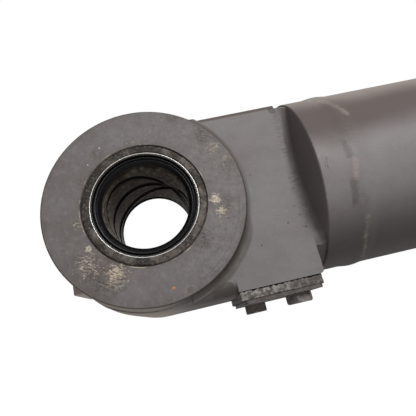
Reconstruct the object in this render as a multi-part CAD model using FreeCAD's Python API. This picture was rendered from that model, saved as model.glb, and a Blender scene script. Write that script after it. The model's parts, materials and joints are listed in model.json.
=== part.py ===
import FreeCAD, Part
import math
import os

# Telescopic hydraulic cylinder: barrel, two sleeves and a plunger, with a pin eye at each end.
# Row frame, millimetres: origin in the middle of the base eye's pin bore, +X along the cylinder
# to the rod eye, +Y along the pin, +Z up. The oil port pad is underneath, on -Z.

V = FreeCAD.Vector
ORIGIN = V(0, 0, 0)
X_AXIS = V(1, 0, 0)
Y_AXIS = V(0, 1, 0)
Z_AXIS = V(0, 0, 1)
SIDES = ((-1, "front"), (1, "rear"))

# Driving dimensions ------------------------------------------------------------------------

PIN_R = 40.0                 # both pin bores, radius
CLOSED_LENGTH = 1000.0       # pin to pin, closed

BARREL_R, BARREL_BORE_R = 90.0, 82.0
SLEEVE_1_R, SLEEVE_1_BORE_R = 74.0, 66.0
SLEEVE_2_R, SLEEVE_2_BORE_R = 59.0, 52.0
PLUNGER_R, PLUNGER_BORE_R = 45.0, 33.0

RUN = 0.05                   # radial gap of a bearing surface
LOOSE = 0.5                  # radial gap of metal that guides nothing
SEAT = 0.05                  # radial gap between pieces that are fixed together

# Base eye, seen along the pin
EYE_R = 92.6                 # eye body
UNDERSIDE_Z = -98.0          # flat underside of the shank
HEEL_X, HEEL_R = -5.3, 69.5  # where the underside starts to curve up into the eye, and how
EYE_CHEEK_Y = 52.5           # half width over the flat cheeks
EYE_EDGE_ROUND = 6.0
BOSS_R = 93.2                # machined ring round the bush
BOSS_Y = 60.0                # half width over the rings
BOSS_CHAMFER = 0.8
BOSS_FOOT_R = 6.0            # hollow where the ring stands on the flat cheek
BOSS_FOOT_SMALL_R = 3.0      # the same hollow on the eye's rounded side
BOSS_FOOT_X0 = 25.0          # the larger hollow starts here
BUSH_R = 57.5
BUSH_SINK = 0.4              # the bush's end lies this far below the ring's face
BUSH_CHAMFER = 1.0
SEAL_POCKET_R = 50.0
SEAL_POCKET_DEPTH = 15.0

# Shank between the eye and the barrel
SHANK_END_X = 143.0
SHANK_TOP_Z = 77.5
SHANK_THROAT_R = 26.0        # hollow between the top of the shank and the eye
SHANK_CORNER_R = 3.5         # lower corner of the shank's end
UNDERSIDE_ROUND = 14.0       # lower edges' rounding where the port pad starts
CONE_FOOT_X = 145.5          # the shoulder's cone where it leaves the cheek
CONE_RIM_X = 154.2           # and where it meets the collar
CONE_FOOT_ROUND = 7.0
ROOT_R = 88.2                # the flats run on to the cone inside this radius
COLLAR_EDGE = 0.6

# Weld between the base forging and the barrel
WELD_X = 189.0
WELD_GAP = 1.0               # half the root gap
WELD_BEVEL = 7.0
WELD_CROWN = 1.3
WELD_CROWN_HALF = 7.0
WELD_HALF = 13.0
WELD_TOE_RISE = 0.35         # share of the crown's height half way down to the toe
CHAMBER_FACE_X = 198.0
SPIGOT_CHAMFER = 1.0

# Port pad, its blanking plate and its bolts: flange pattern for a 1 1/4 inch port
PAD_X0, PAD_X1 = 65.0, 140.0
PAD_TOP_Z, PAD_Z = -95.4, -103.9
PAD_CORNER_R, COVER_CORNER_R = 2.0, 3.0
COVER_THICK = 3.2
COVER_X0, COVER_X1 = 68.0, 138.5
COVER_INSET = 0.5
PORT_X = 103.5
PORT_R = 16.0
FLANGE_DX, FLANGE_DY = 31.8, 66.7
BOLT_R = 7.0
COVER_HOLE_R = 7.75
BOLT_TWISTS = (8, 21)        # degrees, as tightened
BOLT_FLATS = 22.0
BOLT_HEAD = 8.8
BOLT_LENGTH = 30.0
TAPPED_DEPTH = 34.0
O_RING_R, O_RING_W, O_RING_H = 21.0, 3.8, 2.6
O_RING_ROUND = 1.0

# Grease block at the lower left of the eye, with a sunk nipple in its end face
GREASE_X0, GREASE_Z0 = -82.0, -63.6
GREASE_HALF_Y = 28.0
GREASE_Z = -52.0
GREASE_POCKET_R, GREASE_POCKET_DEPTH = 6.5, 14.0
GREASE_BLOCK_ROUND = 1.5
GREASE_DRILL_R, GREASE_DRILL_END = 3.0, 20.0
GREASE_GROOVE_DEPTH, GREASE_GROOVE_W = 3.0, 9.0

# Pin seals: depths below the bush's end
CASE_WALL = 1.4
CASE_OUT, CASE_BACK, CASE_FLANGE = 0.6, 9.6, 1.0
CASE_HOLE = 3.6              # the flange's hole is this much larger in radius than the pin
LIP_CLEAR = 0.25             # radial gap between the lip and the pin

# Length of the tubes and heads along the axis
BARREL_END_X = 760.0
TUBE_CHAMFER = 1.0
SLEEVE_1_END_X = 812.0
SLEEVE_2_END_X = 852.0
PLUNGER_END_X = 888.0
HEAD_INSERT = 60.0           # how deep a head screws into its tube
HEAD_PILOT = 16.0            # plain part of the insert, ahead of the thread
THREAD_STEP = 1.0            # the thread is this much larger in radius than the tube's bore
LOCK_SCREW_R = 3.0
LOCK_SCREW_BACK = 9.0        # from the tube's end
LOCK_SCREW_SUNK = 0.6        # below the tube's surface
LOCK_SOCKET, LOCK_SOCKET_DEPTH = 3.0, 2.5

# Grooves of a head: start, end and depth, from its inner end, its tube's end and its outer face
BAND_GROOVE = (18.0, 44.0, 2.5)
SEAL_GROOVE = (1.0, 8.0, 5.0)
WIPER_GROOVE = (-6.0, 1.0, 4.0)
HEAD_O_RING_GROOVE = (6.0, 10.0, 2.6)
SPANNER_SLOTS = 4
SPANNER_SLOT_W, SPANNER_SLOT_DEEP, SPANNER_SLOT_LONG = 8.0, 5.0, 6.0
BARREL_FLANGE, SLEEVE_FLANGE = 24.0, 20.0
FLANGE_EDGE = 1.5

FOOT_LENGTH = 28.0
LIP_THICK = 5.0
LIP_OVERLAP = 6.0            # how far each foot's lip reaches in under the next stage's foot
STOP_THICK = 4.0
STOP_SINK = 1.0
STOP_CLEAR = 2.0             # radial gap between a stop ring and the bore outside it
FOOT_BAND = (7.0, 21.0, 2.5)  # groove from the foot's end: start, end, depth
SLEEVE_1_FOOT_X = 200.0
SLEEVE_2_FOOT_X = 207.0
PLUNGER_FOOT_X = 214.0

# Rod eye
ROD_EYE_R = 78.0
ROD_CHEEK_Y = 46.5
ROD_BOSS_R = 72.0
ROD_BOSS_Y = 50.0
ROD_BUSH_R = 50.0
ROD_SEAL_POCKET_R = 47.0
ROD_SEAL_POCKET_DEPTH = 10.0
ROD_NECK_ROUND = 10.0
ROD_SPIGOT = 8.0             # the rod eye's spigot inside the plunger
ROD_BOSS_CHAMFER = 1.0
NIPPLE_BOSS_R, NIPPLE_BOSS_RISE = 9.0, 4.0
NIPPLE_HOLE_R = 3.0
BLEED_X = 910.0
BLEED_BOSS_R, BLEED_BOSS_RISE = 6.5, 2.0
BLEED_R, BLEED_FLATS, BLEED_HEAD, BLEED_LENGTH = 4.0, 10.0, 5.0, 14.0
BLEED_HOLE_Z = 20.0
BLEED_WAY_R = 2.0


# Shapes ------------------------------------------------------------------------------------

def outline(start, *steps):
    """Closed wire from a start point; each step is a point (a line to it) or a pair of points
    (an arc through the first to the second)."""
    edges = []
    here = start
    for step in steps:
        if isinstance(step, tuple):
            through, there = step
            edges.append(Part.Arc(here, through, there).toShape())
        else:
            there = step
            edges.append(Part.LineSegment(here, there).toShape())
        here = there
    if here.distanceToPoint(start) > 1e-6:
        edges.append(Part.LineSegment(here, start).toShape())
    return Part.Wire(edges)


def turned(points, axis=X_AXIS):
    """Solid of revolution of a closed (along, radius) polygon about X, Y or Z."""
    if axis == X_AXIS:
        corners = [V(along, 0, radius) for along, radius in points]
    elif axis == Y_AXIS:
        corners = [V(radius, along, 0) for along, radius in points]
    else:
        corners = [V(radius, 0, along) for along, radius in points]
    return Part.Face(outline(*corners)).revolve(ORIGIN, axis, 360)


def ring(a, b, r_in, r_out):
    return turned([(a, r_in), (b, r_in), (b, r_out), (a, r_out)])


def disc(half, radius, chamfer):
    """Chamfered disc about Y, from -half to half."""
    return turned([
        (-half, 0), (-half, radius - chamfer), (-half + chamfer, radius),
        (half - chamfer, radius), (half, radius - chamfer), (half, 0),
    ], Y_AXIS)


def rod(start, direction, radius, length):
    return Part.makeCylinder(radius, length, start, direction)


def box(x0, x1, y0, y1, z0, z1):
    return Part.makeBox(x1 - x0, y1 - y0, z1 - z0, V(x0, y0, z0))


def hexagon(across_flats, height):
    """Hexagonal prism standing on z = 0."""
    r = across_flats / math.sqrt(3)
    angles = [math.radians(60 * k) for k in range(6)]
    corners = [V(r * math.cos(a), r * math.sin(a), 0) for a in angles]
    return Part.Face(outline(*corners)).extrude(V(0, 0, height))


def shifted(shape, x, z=0.0):
    shape.translate(V(x, 0, z))
    return shape


def on_cheek(edge):
    """True for an edge that lies in one of the eye's two cheek planes."""
    low, high = edge.BoundBox.YMin, edge.BoundBox.YMax
    return high - low < 0.01 and abs(abs(low) - EYE_CHEEK_Y) < 0.01


def save(node, shape):
    shape.exportStep(f"parts/{node}.step")


# Base end forging --------------------------------------------------------------------------

def eye_outline():
    """Side outline of the eye and shank, in the XZ plane."""
    throat_z = SHANK_TOP_Z + SHANK_THROAT_R
    throat_x = math.sqrt((EYE_R + SHANK_THROAT_R) ** 2 - throat_z ** 2)
    throat = V(throat_x, 0, throat_z)
    meet = throat * (EYE_R / throat.Length)
    half_turn = (math.atan2(meet.z - throat.z, meet.x - throat.x) - math.pi / 2) / 2
    throat_middle = throat + V(math.cos(half_turn), 0, math.sin(half_turn)) * SHANK_THROAT_R
    heel = V(HEEL_X, 0, UNDERSIDE_Z + HEEL_R)
    along = (heel.Length ** 2 + EYE_R ** 2 - HEEL_R ** 2) / (2 * heel.Length ** 2)
    across = math.sqrt((EYE_R / heel.Length) ** 2 - along ** 2)
    join = heel * along + V(heel.z, 0, -heel.x) * across
    start = V(HEEL_X, 0, UNDERSIDE_Z)
    chord = (start + join) * 0.5 - heel
    return outline(
        start,
        V(SHANK_END_X, 0, UNDERSIDE_Z),
        V(SHANK_END_X, 0, SHANK_TOP_Z),
        V(throat_x, 0, SHANK_TOP_Z),
        (throat_middle, meet),
        (V(-EYE_R, 0, 0), join),
        (heel + chord * (HEEL_R / chord.Length), start),
    )


def eye_plate(half_width):
    """Eye and shank as one plate with square edges."""
    face = Part.Face(eye_outline())
    face.translate(V(0, -half_width, 0))
    return face.extrude(V(0, 2 * half_width, 0))


def underside_cutter(side):
    """What the growing rounding of the shank's lower edge takes off, between eye and pad."""
    cheek = side * EYE_CHEEK_Y
    sections = []
    for x, r in ((0, EYE_EDGE_ROUND - 0.05), (PAD_X0, UNDERSIDE_ROUND)):
        centre = V(x, cheek - side * r, UNDERSIDE_Z + r)
        beyond = r / math.sqrt(2)
        sections.append(outline(
            V(x, cheek, centre.z),
            (centre + V(0, side * beyond, -beyond), V(x, centre.y, UNDERSIDE_Z)),
            V(x, centre.y, UNDERSIDE_Z - 2),
            V(x, cheek + side * 2, UNDERSIDE_Z - 2),
            V(x, cheek + side * 2, centre.z),
        ))
    return Part.makeLoft(sections, True, True)


def boss_foot(side, hollow_r):
    """Ring with a hollow quarter-round foot, between a boss and its cheek."""
    cheek, top = side * EYE_CHEEK_Y, side * (EYE_CHEEK_Y + hollow_r)
    buried = side * (EYE_CHEEK_Y - EYE_EDGE_ROUND)
    rim = BOSS_R + hollow_r
    middle = V(rim - hollow_r / math.sqrt(2), top - side * hollow_r / math.sqrt(2), 0)
    wire = outline(
        V(BUSH_R, buried, 0),
        V(rim, buried, 0),
        V(rim, cheek, 0),
        (middle, V(BOSS_R, top, 0)),
        V(BUSH_R, top, 0),
    )
    return Part.Face(wire).revolve(ORIGIN, Y_AXIS, 360)


def cone_x(radius):
    """Where the shoulder's cone has this radius."""
    return CONE_FOOT_X + (radius - EYE_CHEEK_Y) * (CONE_RIM_X - CONE_FOOT_X) / (BARREL_R - EYE_CHEEK_Y)


def shank_root():
    """The flats between the shank's end and the cone, with the hollow at the cone's foot."""
    wide = 2 * BARREL_R
    high = 1.5 * BARREL_R
    flats = box(SHANK_END_X - 10, cone_x(wide), -EYE_CHEEK_Y, EYE_CHEEK_Y, -high, high)
    cone = turned([
        (CONE_FOOT_X, 0), (CONE_FOOT_X, EYE_CHEEK_Y), (cone_x(wide), wide), (WELD_X, wide), (WELD_X, 0),
    ])
    block = flats.fuse(cone)
    at_cone = [e for e in block.Edges if on_cheek(e) and e.BoundBox.XMin > CONE_FOOT_X - 1]
    feet = [e for e in at_cone if e.BoundBox.ZLength > CONE_FOOT_ROUND]
    block = block.makeFillet(CONE_FOOT_ROUND, feet)
    block = block.common(box(0, CONE_RIM_X, -wide, wide, -wide, SHANK_TOP_Z))
    return block.common(rod(ORIGIN, X_AXIS, ROOT_R, CONE_RIM_X))


def shoulder():
    """Conical shoulder, collar and the spigot that centres the barrel."""
    spigot_r = BARREL_BORE_R - SEAT
    return turned([
        (CONE_FOOT_X, 0),
        (CONE_FOOT_X, EYE_CHEEK_Y),
        (cone_x(BARREL_R - COLLAR_EDGE), BARREL_R - COLLAR_EDGE),
        (CONE_RIM_X + COLLAR_EDGE, BARREL_R),
        (WELD_X - WELD_GAP - WELD_BEVEL, BARREL_R),
        (WELD_X - WELD_GAP, spigot_r),
        (CHAMBER_FACE_X - SPIGOT_CHAMFER, spigot_r),
        (CHAMBER_FACE_X, spigot_r - SPIGOT_CHAMFER),
        (CHAMBER_FACE_X, 0),
    ])


def end_corner_cutter():
    """What the rounding of the shank's lower end corner takes off."""
    wide = EYE_CHEEK_Y + 1
    x, z = SHANK_END_X - SHANK_CORNER_R, PAD_TOP_Z + SHANK_CORNER_R
    square = box(x, SHANK_END_X + 1, -wide, wide, PAD_TOP_Z - 1, z)
    return square.cut(rod(V(x, -wide, z), Y_AXIS, SHANK_CORNER_R, 2 * wide))


def tapped_places():
    """Centres of the four tapped holes of the port pad."""
    return [(PORT_X + sx * FLANGE_DX / 2, sy * FLANGE_DY / 2) for sx in (-1, 1) for sy in (-1, 1)]


def oilways():
    """The port's upright bore, its turn and the bore along the axis to the chamber."""
    return [
        rod(V(PORT_X, 0, PAD_Z - 1), Z_AXIS, PORT_R, 1 - PAD_Z),
        Part.makeSphere(PORT_R, V(PORT_X, 0, 0)),
        rod(V(PORT_X, 0, 0), X_AXIS, PORT_R, CHAMBER_FACE_X - PORT_X + 1),
    ]


def grease_block():
    block = box(GREASE_X0, 0, -GREASE_HALF_Y, GREASE_HALF_Y, GREASE_Z0, 0)
    return block.makeFillet(GREASE_BLOCK_ROUND, block.Edges)


def base_end_forging():
    body = eye_plate(EYE_CHEEK_Y)
    long_edges = [e for e in body.Edges if on_cheek(e) and e.BoundBox.XMin < SHANK_END_X - 0.01]
    body = body.makeFillet(EYE_EDGE_ROUND, long_edges)
    eye_side = eye_plate(BOSS_Y)
    shank_side = eye_side.common(box(BOSS_FOOT_X0, SHANK_END_X, -BOSS_Y, BOSS_Y, UNDERSIDE_Z, EYE_R))
    extras = [
        shank_root(),
        shoulder(),
        disc(BOSS_Y, BOSS_R, BOSS_CHAMFER),
        grease_block(),
    ]
    cuts = oilways() + [
        rod(V(0, -BOSS_Y - 1, 0), Y_AXIS, BUSH_R + SEAT, 2 * BOSS_Y + 2),
        box(PAD_X0, CONE_RIM_X, -EYE_CHEEK_Y - 1, EYE_CHEEK_Y + 1, UNDERSIDE_Z - 1, PAD_TOP_Z),
        end_corner_cutter(),
        rod(V(GREASE_X0 - 1, 0, GREASE_Z), X_AXIS, GREASE_POCKET_R, GREASE_POCKET_DEPTH + 1),
        rod(V(GREASE_X0, 0, GREASE_Z), X_AXIS, GREASE_DRILL_R, -GREASE_X0 - GREASE_DRILL_END),
    ]
    for side in (-1, 1):
        body = body.cut(underside_cutter(side))
        extras.append(boss_foot(side, BOSS_FOOT_SMALL_R).common(eye_side))
        extras.append(boss_foot(side, BOSS_FOOT_R).common(shank_side))
    square_top = PAD_TOP_Z + UNDERSIDE_ROUND + 1
    extras.append(box(PAD_X0, SHANK_END_X, -EYE_CHEEK_Y, EYE_CHEEK_Y, PAD_TOP_Z, square_top))
    for x, y in tapped_places():
        cuts.append(rod(V(x, y, PAD_Z), Z_AXIS, BOLT_R + SEAT, TAPPED_DEPTH))
    return body.fuse(extras).cut(cuts).removeSplitter()


def upright_edges(shape):
    return [e for e in shape.Edges if e.BoundBox.XLength + e.BoundBox.YLength < 0.01]


def port_pad():
    """Machined block welded under the shank, with the port and its four tapped holes."""
    pad = box(PAD_X0, PAD_X1, -EYE_CHEEK_Y, EYE_CHEEK_Y, PAD_Z, PAD_TOP_Z)
    pad = pad.makeFillet(PAD_CORNER_R, upright_edges(pad))
    foot = V(PORT_X, 0, PAD_Z)
    groove = rod(foot, Z_AXIS, O_RING_R + O_RING_W + SEAT, O_RING_H)
    groove = groove.cut(rod(foot, Z_AXIS, O_RING_R - SEAT, O_RING_H))
    cuts = [groove] + oilways()
    for x, y in tapped_places():
        cuts.append(rod(V(x, y, PAD_Z - 1), Z_AXIS, BOLT_R + SEAT, TAPPED_DEPTH))
    return pad.cut(cuts)


def port_cover_o_ring():
    foot = V(PORT_X, 0, PAD_Z)
    outer = rod(foot, Z_AXIS, O_RING_R + O_RING_W, O_RING_H - SEAT)
    seal = outer.cut(rod(foot, Z_AXIS, O_RING_R, O_RING_H))
    rims = [e for e in seal.Edges if e.BoundBox.ZLength < 0.01]
    return seal.makeFillet(O_RING_ROUND, rims)


def bolt_places():
    """The blanking plate is held by two bolts on one diagonal of the pattern."""
    return [(PORT_X + FLANGE_DX / 2, -FLANGE_DY / 2), (PORT_X - FLANGE_DX / 2, FLANGE_DY / 2)]


def port_cover_plate():
    half = EYE_CHEEK_Y - COVER_INSET
    low = PAD_Z - COVER_THICK
    plate = box(COVER_X0, COVER_X1, -half, half, low, PAD_Z)
    plate = plate.makeFillet(COVER_CORNER_R, upright_edges(plate))
    holes = [rod(V(x, y, low - 1), Z_AXIS, COVER_HOLE_R, COVER_THICK + 2) for x, y in bolt_places()]
    return plate.cut(holes)


def hex_bolt(shank_r, flats, head, length):
    """Hexagon bolt along +Z with its head below z = 0, chamfered like a forged head."""
    corner_r = flats / math.sqrt(3)
    tip = 0.2 * shank_r
    crown = turned([
        (-head, 0), (-head, 0.475 * flats), (-0.8 * head, corner_r), (0, corner_r), (0, 0),
    ], Z_AXIS)
    shank = turned([
        (0, 0), (0, shank_r), (length - tip, shank_r), (length, shank_r - tip), (length, 0),
    ], Z_AXIS)
    return shifted(hexagon(flats, head), 0, -head).common(crown).fuse(shank)


def port_cover_bolts():
    bolts = []
    for (x, y), twist in zip(bolt_places(), BOLT_TWISTS):
        bolt = hex_bolt(BOLT_R, BOLT_FLATS, BOLT_HEAD, BOLT_LENGTH)
        bolt.rotate(ORIGIN, Z_AXIS, twist)
        bolt.translate(V(x, y, PAD_Z - COVER_THICK))
        bolts.append(bolt)
    return Part.makeCompound(bolts)


def eye_bush(bush_r, half_length, pocket_r, pocket_depth):
    """Bearing bush with a seal pocket at each end; a groove round it passes the grease."""
    mouth = half_length - pocket_depth
    groove = GREASE_GROOVE_W / 2
    points = [
        (-mouth, PIN_R + BUSH_CHAMFER), (-mouth, pocket_r), (-half_length, pocket_r),
        (-half_length, bush_r - BUSH_CHAMFER), (-half_length + BUSH_CHAMFER, bush_r),
        (-groove, bush_r), (-groove, bush_r - GREASE_GROOVE_DEPTH),
        (groove, bush_r - GREASE_GROOVE_DEPTH), (groove, bush_r),
        (half_length - BUSH_CHAMFER, bush_r), (half_length, bush_r - BUSH_CHAMFER),
        (half_length, pocket_r), (mouth, pocket_r), (mouth, PIN_R + BUSH_CHAMFER),
        (mouth - BUSH_CHAMFER, PIN_R), (-mouth + BUSH_CHAMFER, PIN_R),
    ]
    holes = [rod(ORIGIN, V(0, 0, s), GREASE_DRILL_R, bush_r + 1) for s in (-1, 1)]
    return turned(points, Y_AXIS).cut(holes)


def seal_case(side, face_y, pocket_r):
    """Pressed steel case of a pin seal: a sleeve with an inward flange at its inner end."""
    out, back = face_y - CASE_OUT, face_y - CASE_BACK
    outer, inner, hole = pocket_r - SEAT, pocket_r - CASE_WALL, PIN_R + CASE_HOLE
    points = [
        (out, outer), (out, inner), (back + CASE_FLANGE, inner), (back + CASE_FLANGE, hole), (back, hole),
        (back, outer),
    ]
    return turned([(side * y, radius) for y, radius in points], Y_AXIS)


def seal_lip(side, face_y, pocket_r):
    """Rubber of a pin seal, bonded into its case, with one lip that just clears the pin."""
    case_r = pocket_r - CASE_WALL
    floor = CASE_BACK - CASE_FLANGE - SEAT
    lip_r = PIN_R + LIP_CLEAR
    depths = [
        (2.2, case_r), (3.0, PIN_R + 5.6), (4.2, PIN_R + 4.4), (6.8, PIN_R + 1.2), (8.0, lip_r),
        (floor, lip_r), (floor, case_r),
    ]
    return turned([(side * (face_y - depth), radius) for depth, radius in depths], Y_AXIS)


def grease_nipple():
    """Straight nipple along +Z: stem below z = 0, hexagon and ball head above."""
    stem = turned([(-7, 0), (-7, 2.4), (-6.4, 3.0), (0, 3.0), (0, 0)], Z_AXIS)
    head = turned([
        (3, 0), (3, 2.6), (5, 2.6), (6.5, 1.9), (7.5, 2.5), (8.6, 3.2), (9.6, 3.0), (11, 1.6), (11, 0),
    ], Z_AXIS)
    return stem.fuse([hexagon(9.0, 3.0), head])


def bevel_length(wall):
    """Length along the axis of a weld bevel through this wall, at the barrel weld's slope."""
    return wall * WELD_BEVEL / (BARREL_R - BARREL_BORE_R)


def weld_bead(x, r_out, r_in):
    """Butt weld ring: a V between two bevels, crowned and blended at both toes."""
    half = [
        (WELD_GAP, r_in),
        (WELD_GAP + bevel_length(r_out - r_in), r_out),
        (WELD_HALF, r_out),
        ((WELD_HALF + WELD_CROWN_HALF) / 2, r_out + WELD_TOE_RISE * WELD_CROWN),
        (WELD_CROWN_HALF, r_out + WELD_CROWN),
    ]
    right = [(x + dx, r) for dx, r in half]
    left = [(x - dx, r) for dx, r in half]
    return turned(right + left[::-1])


# Tubes, heads and feet -----------------------------------------------------------------------

def lock_screw_hole(end_x, outer_r, bore_r):
    start = V(end_x - LOCK_SCREW_BACK, 0, bore_r)
    return rod(start, Z_AXIS, LOCK_SCREW_R + SEAT, outer_r - bore_r + 1)


def lock_screw(end_x, outer_r, bore_r):
    """Grub screw through the tube's wall onto the head's thread, with a hexagon socket."""
    base = bore_r + THREAD_STEP
    length = outer_r - base - LOCK_SCREW_SUNK
    socket = shifted(hexagon(LOCK_SOCKET, LOCK_SOCKET_DEPTH + 1), 0, length - LOCK_SOCKET_DEPTH)
    screw = rod(ORIGIN, Z_AXIS, LOCK_SCREW_R, length).cut(socket)
    return shifted(screw, end_x - LOCK_SCREW_BACK, base)


def thread_relief(end_x, bore_r):
    """Last corners of a tube's profile: its threaded mouth and the step down to the bore."""
    thread_start = end_x - HEAD_INSERT + HEAD_PILOT
    return [(end_x, bore_r + THREAD_STEP), (thread_start, bore_r + THREAD_STEP), (thread_start, bore_r)]


def barrel_tube():
    start = WELD_X + WELD_GAP
    points = [
        (start, BARREL_BORE_R), (start + bevel_length(BARREL_R - BARREL_BORE_R), BARREL_R),
        (BARREL_END_X - TUBE_CHAMFER, BARREL_R), (BARREL_END_X, BARREL_R - TUBE_CHAMFER),
    ]
    tube = turned(points + thread_relief(BARREL_END_X, BARREL_BORE_R))
    return tube.cut(lock_screw_hole(BARREL_END_X, BARREL_R, BARREL_BORE_R))


def stop_groove(foot_x, tube_r):
    """Corners of the groove for the stop ring, above the foot."""
    start = foot_x + FOOT_LENGTH
    end = start + STOP_THICK
    return [(start, tube_r), (start, tube_r - STOP_SINK), (end, tube_r - STOP_SINK), (end, tube_r)]


def sleeve_tube(foot_x, end_x, outer_r, bore_r):
    start = foot_x + LIP_THICK
    points = [(start, bore_r), (start, outer_r)] + stop_groove(foot_x, outer_r) + [(end_x, outer_r)]
    tube = turned(points + thread_relief(end_x, bore_r))
    return tube.cut(lock_screw_hole(end_x, outer_r, bore_r))


def head_body(end_x, flange_x, tube_r, bore_r, rod_r):
    """Screwed-in head: grooves inside for band, seal and wiper, one outside for the O-ring."""
    inner_x = end_x - HEAD_INSERT
    pilot_r = bore_r - SEAT
    thread_r = bore_r + THREAD_STEP - SEAT
    thread_x = inner_x + HEAD_PILOT + 2
    body = turned([
        (inner_x, rod_r + LOOSE), (inner_x, pilot_r - 1), (inner_x + 1, pilot_r), (thread_x, pilot_r),
        (thread_x, thread_r), (end_x, thread_r), (end_x, tube_r),
        (flange_x - FLANGE_EDGE, tube_r), (flange_x, tube_r - FLANGE_EDGE), (flange_x, rod_r + LOOSE),
    ])
    grooves = []
    for base, (a, b, deep) in ((inner_x, BAND_GROOVE), (end_x, SEAL_GROOVE), (flange_x, WIPER_GROOVE)):
        grooves.append(ring(base + a, base + b, rod_r, rod_r + deep))
    a, b, deep = HEAD_O_RING_GROOVE
    grooves.append(ring(inner_x + a, inner_x + b, pilot_r - deep, pilot_r + 1))
    half = SPANNER_SLOT_W / 2
    floor = tube_r - SPANNER_SLOT_DEEP
    for k in range(SPANNER_SLOTS):
        slot = box(flange_x - SPANNER_SLOT_LONG, flange_x + 1, -half, half, floor, tube_r + 1)
        slot.rotate(ORIGIN, X_AXIS, (k + 0.5) * 360 / SPANNER_SLOTS)
        grooves.append(slot)
    return body.cut(grooves)


def rod_seal(end_x, rod_r):
    """Lipped seal in a head's inner groove, its two lips towards the oil."""
    a, b, deep = SEAL_GROOVE
    outside, inside = rod_r + deep - SEAT, rod_r + RUN
    start, end = end_x + a + 0.3, end_x + b - 0.1
    return turned([
        (start, outside), (start, outside - 2), (start + 2.2, outside - 2.6), (start, inside + 0.8),
        (start + 0.6, inside), (start + 3.7, inside + 0.4), (end, inside + 0.4), (end, outside),
    ])


def wiper(flange_x, rod_r):
    """Wiper in a head's outer groove, with a thin lip that sticks out round the tube."""
    a, _, deep = WIPER_GROOVE
    outside, inside = rod_r + deep - SEAT, rod_r + RUN
    start = flange_x + a + 0.1
    return turned([
        (start, inside + 1.0), (start, outside), (flange_x - 0.2, outside), (flange_x + 0.2, inside + 2.2),
        (flange_x + 1.6, inside + 0.4), (flange_x + 1.6, inside), (flange_x - 0.8, inside + 0.7),
    ])


def head_nodes(name, end_x, flange, sizes, rod_r):
    """A head with its guide band, rod seal, wiper, O-ring and lock screw, by node name."""
    tube_r, bore_r = sizes
    flange_x = end_x + flange
    inner_x = end_x - HEAD_INSERT
    a, b, deep = BAND_GROOVE
    band = ring(inner_x + a + 0.1, inner_x + b - 0.1, rod_r + RUN, rod_r + deep - SEAT)
    a, b, deep = HEAD_O_RING_GROOVE
    o_ring = ring(inner_x + a + 0.2, inner_x + b - 0.2, bore_r - deep, bore_r - SEAT)
    return {
        name: head_body(end_x, flange_x, tube_r, bore_r, rod_r),
        f"{name}_guide_band": band,
        f"{name}_rod_seal": rod_seal(end_x, rod_r),
        f"{name}_wiper": wiper(flange_x, rod_r),
        f"{name}_o_ring": o_ring,
        f"{name}_lock_screw": lock_screw(end_x, tube_r, bore_r),
    }


def foot_ring(foot_x, tube_r, guide_bore_r, lip_r):
    """Piston ring of a stage: it holds the tube, and its lip carries the next stage. With a lip
    radius of 0 it is a closed foot."""
    outer = guide_bore_r - LOOSE
    end = foot_x + FOOT_LENGTH
    a, b, deep = FOOT_BAND
    return turned([
        (foot_x, lip_r), (foot_x, outer - 1), (foot_x + 1, outer),
        (foot_x + a, outer), (foot_x + a, outer - deep), (foot_x + b, outer - deep), (foot_x + b, outer),
        (end - 1, outer), (end, outer - 1), (end, tube_r + SEAT),
        (foot_x + LIP_THICK, tube_r + SEAT), (foot_x + LIP_THICK, lip_r),
    ])


def foot_band(foot_x, guide_bore_r):
    a, b, deep = FOOT_BAND
    return ring(foot_x + a + 0.1, foot_x + b - 0.1, guide_bore_r - LOOSE - deep + SEAT, guide_bore_r - RUN)


def stop_ring(foot_x, tube_r, guide_bore_r):
    """Square-section ring in the tube's groove, above the foot: it meets the head at full stroke."""
    start = foot_x + FOOT_LENGTH
    return ring(start, start + STOP_THICK, tube_r - STOP_SINK + SEAT, guide_bore_r - STOP_CLEAR)


def plunger_tube():
    start = PLUNGER_FOOT_X + LIP_THICK
    end = PLUNGER_END_X - WELD_GAP
    bevel_x = end - bevel_length(PLUNGER_R - PLUNGER_BORE_R)
    points = [(start, PLUNGER_BORE_R), (start, PLUNGER_R)] + stop_groove(PLUNGER_FOOT_X, PLUNGER_R)
    return turned(points + [(bevel_x, PLUNGER_R), (end, PLUNGER_BORE_R)])


# Rod eye -------------------------------------------------------------------------------------

def rod_eye_block():
    """Eye and neck with the rounded hollow between them."""
    spigot_x = PLUNGER_END_X - ROD_SPIGOT
    spigot_r = PLUNGER_BORE_R - SEAT
    neck_x = PLUNGER_END_X + WELD_GAP
    neck = turned([
        (spigot_x, 0), (spigot_x, spigot_r - SPIGOT_CHAMFER), (spigot_x + SPIGOT_CHAMFER, spigot_r),
        (neck_x, spigot_r), (neck_x + bevel_length(PLUNGER_R - PLUNGER_BORE_R), PLUNGER_R),
        (CLOSED_LENGTH, PLUNGER_R), (CLOSED_LENGTH, 0),
    ])
    eye = rod(V(CLOSED_LENGTH, -ROD_CHEEK_Y, 0), Y_AXIS, ROD_EYE_R, 2 * ROD_CHEEK_Y)
    block = eye.fuse(neck)
    joint = []
    for edge in block.Edges:
        b = edge.BoundBox
        if b.XMin > neck_x + ROD_SPIGOT and b.XMax < CLOSED_LENGTH - ROD_BUSH_R and b.YLength > PLUNGER_R:
            joint.append(edge)
    return block.makeFillet(ROD_NECK_ROUND, joint)


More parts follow.
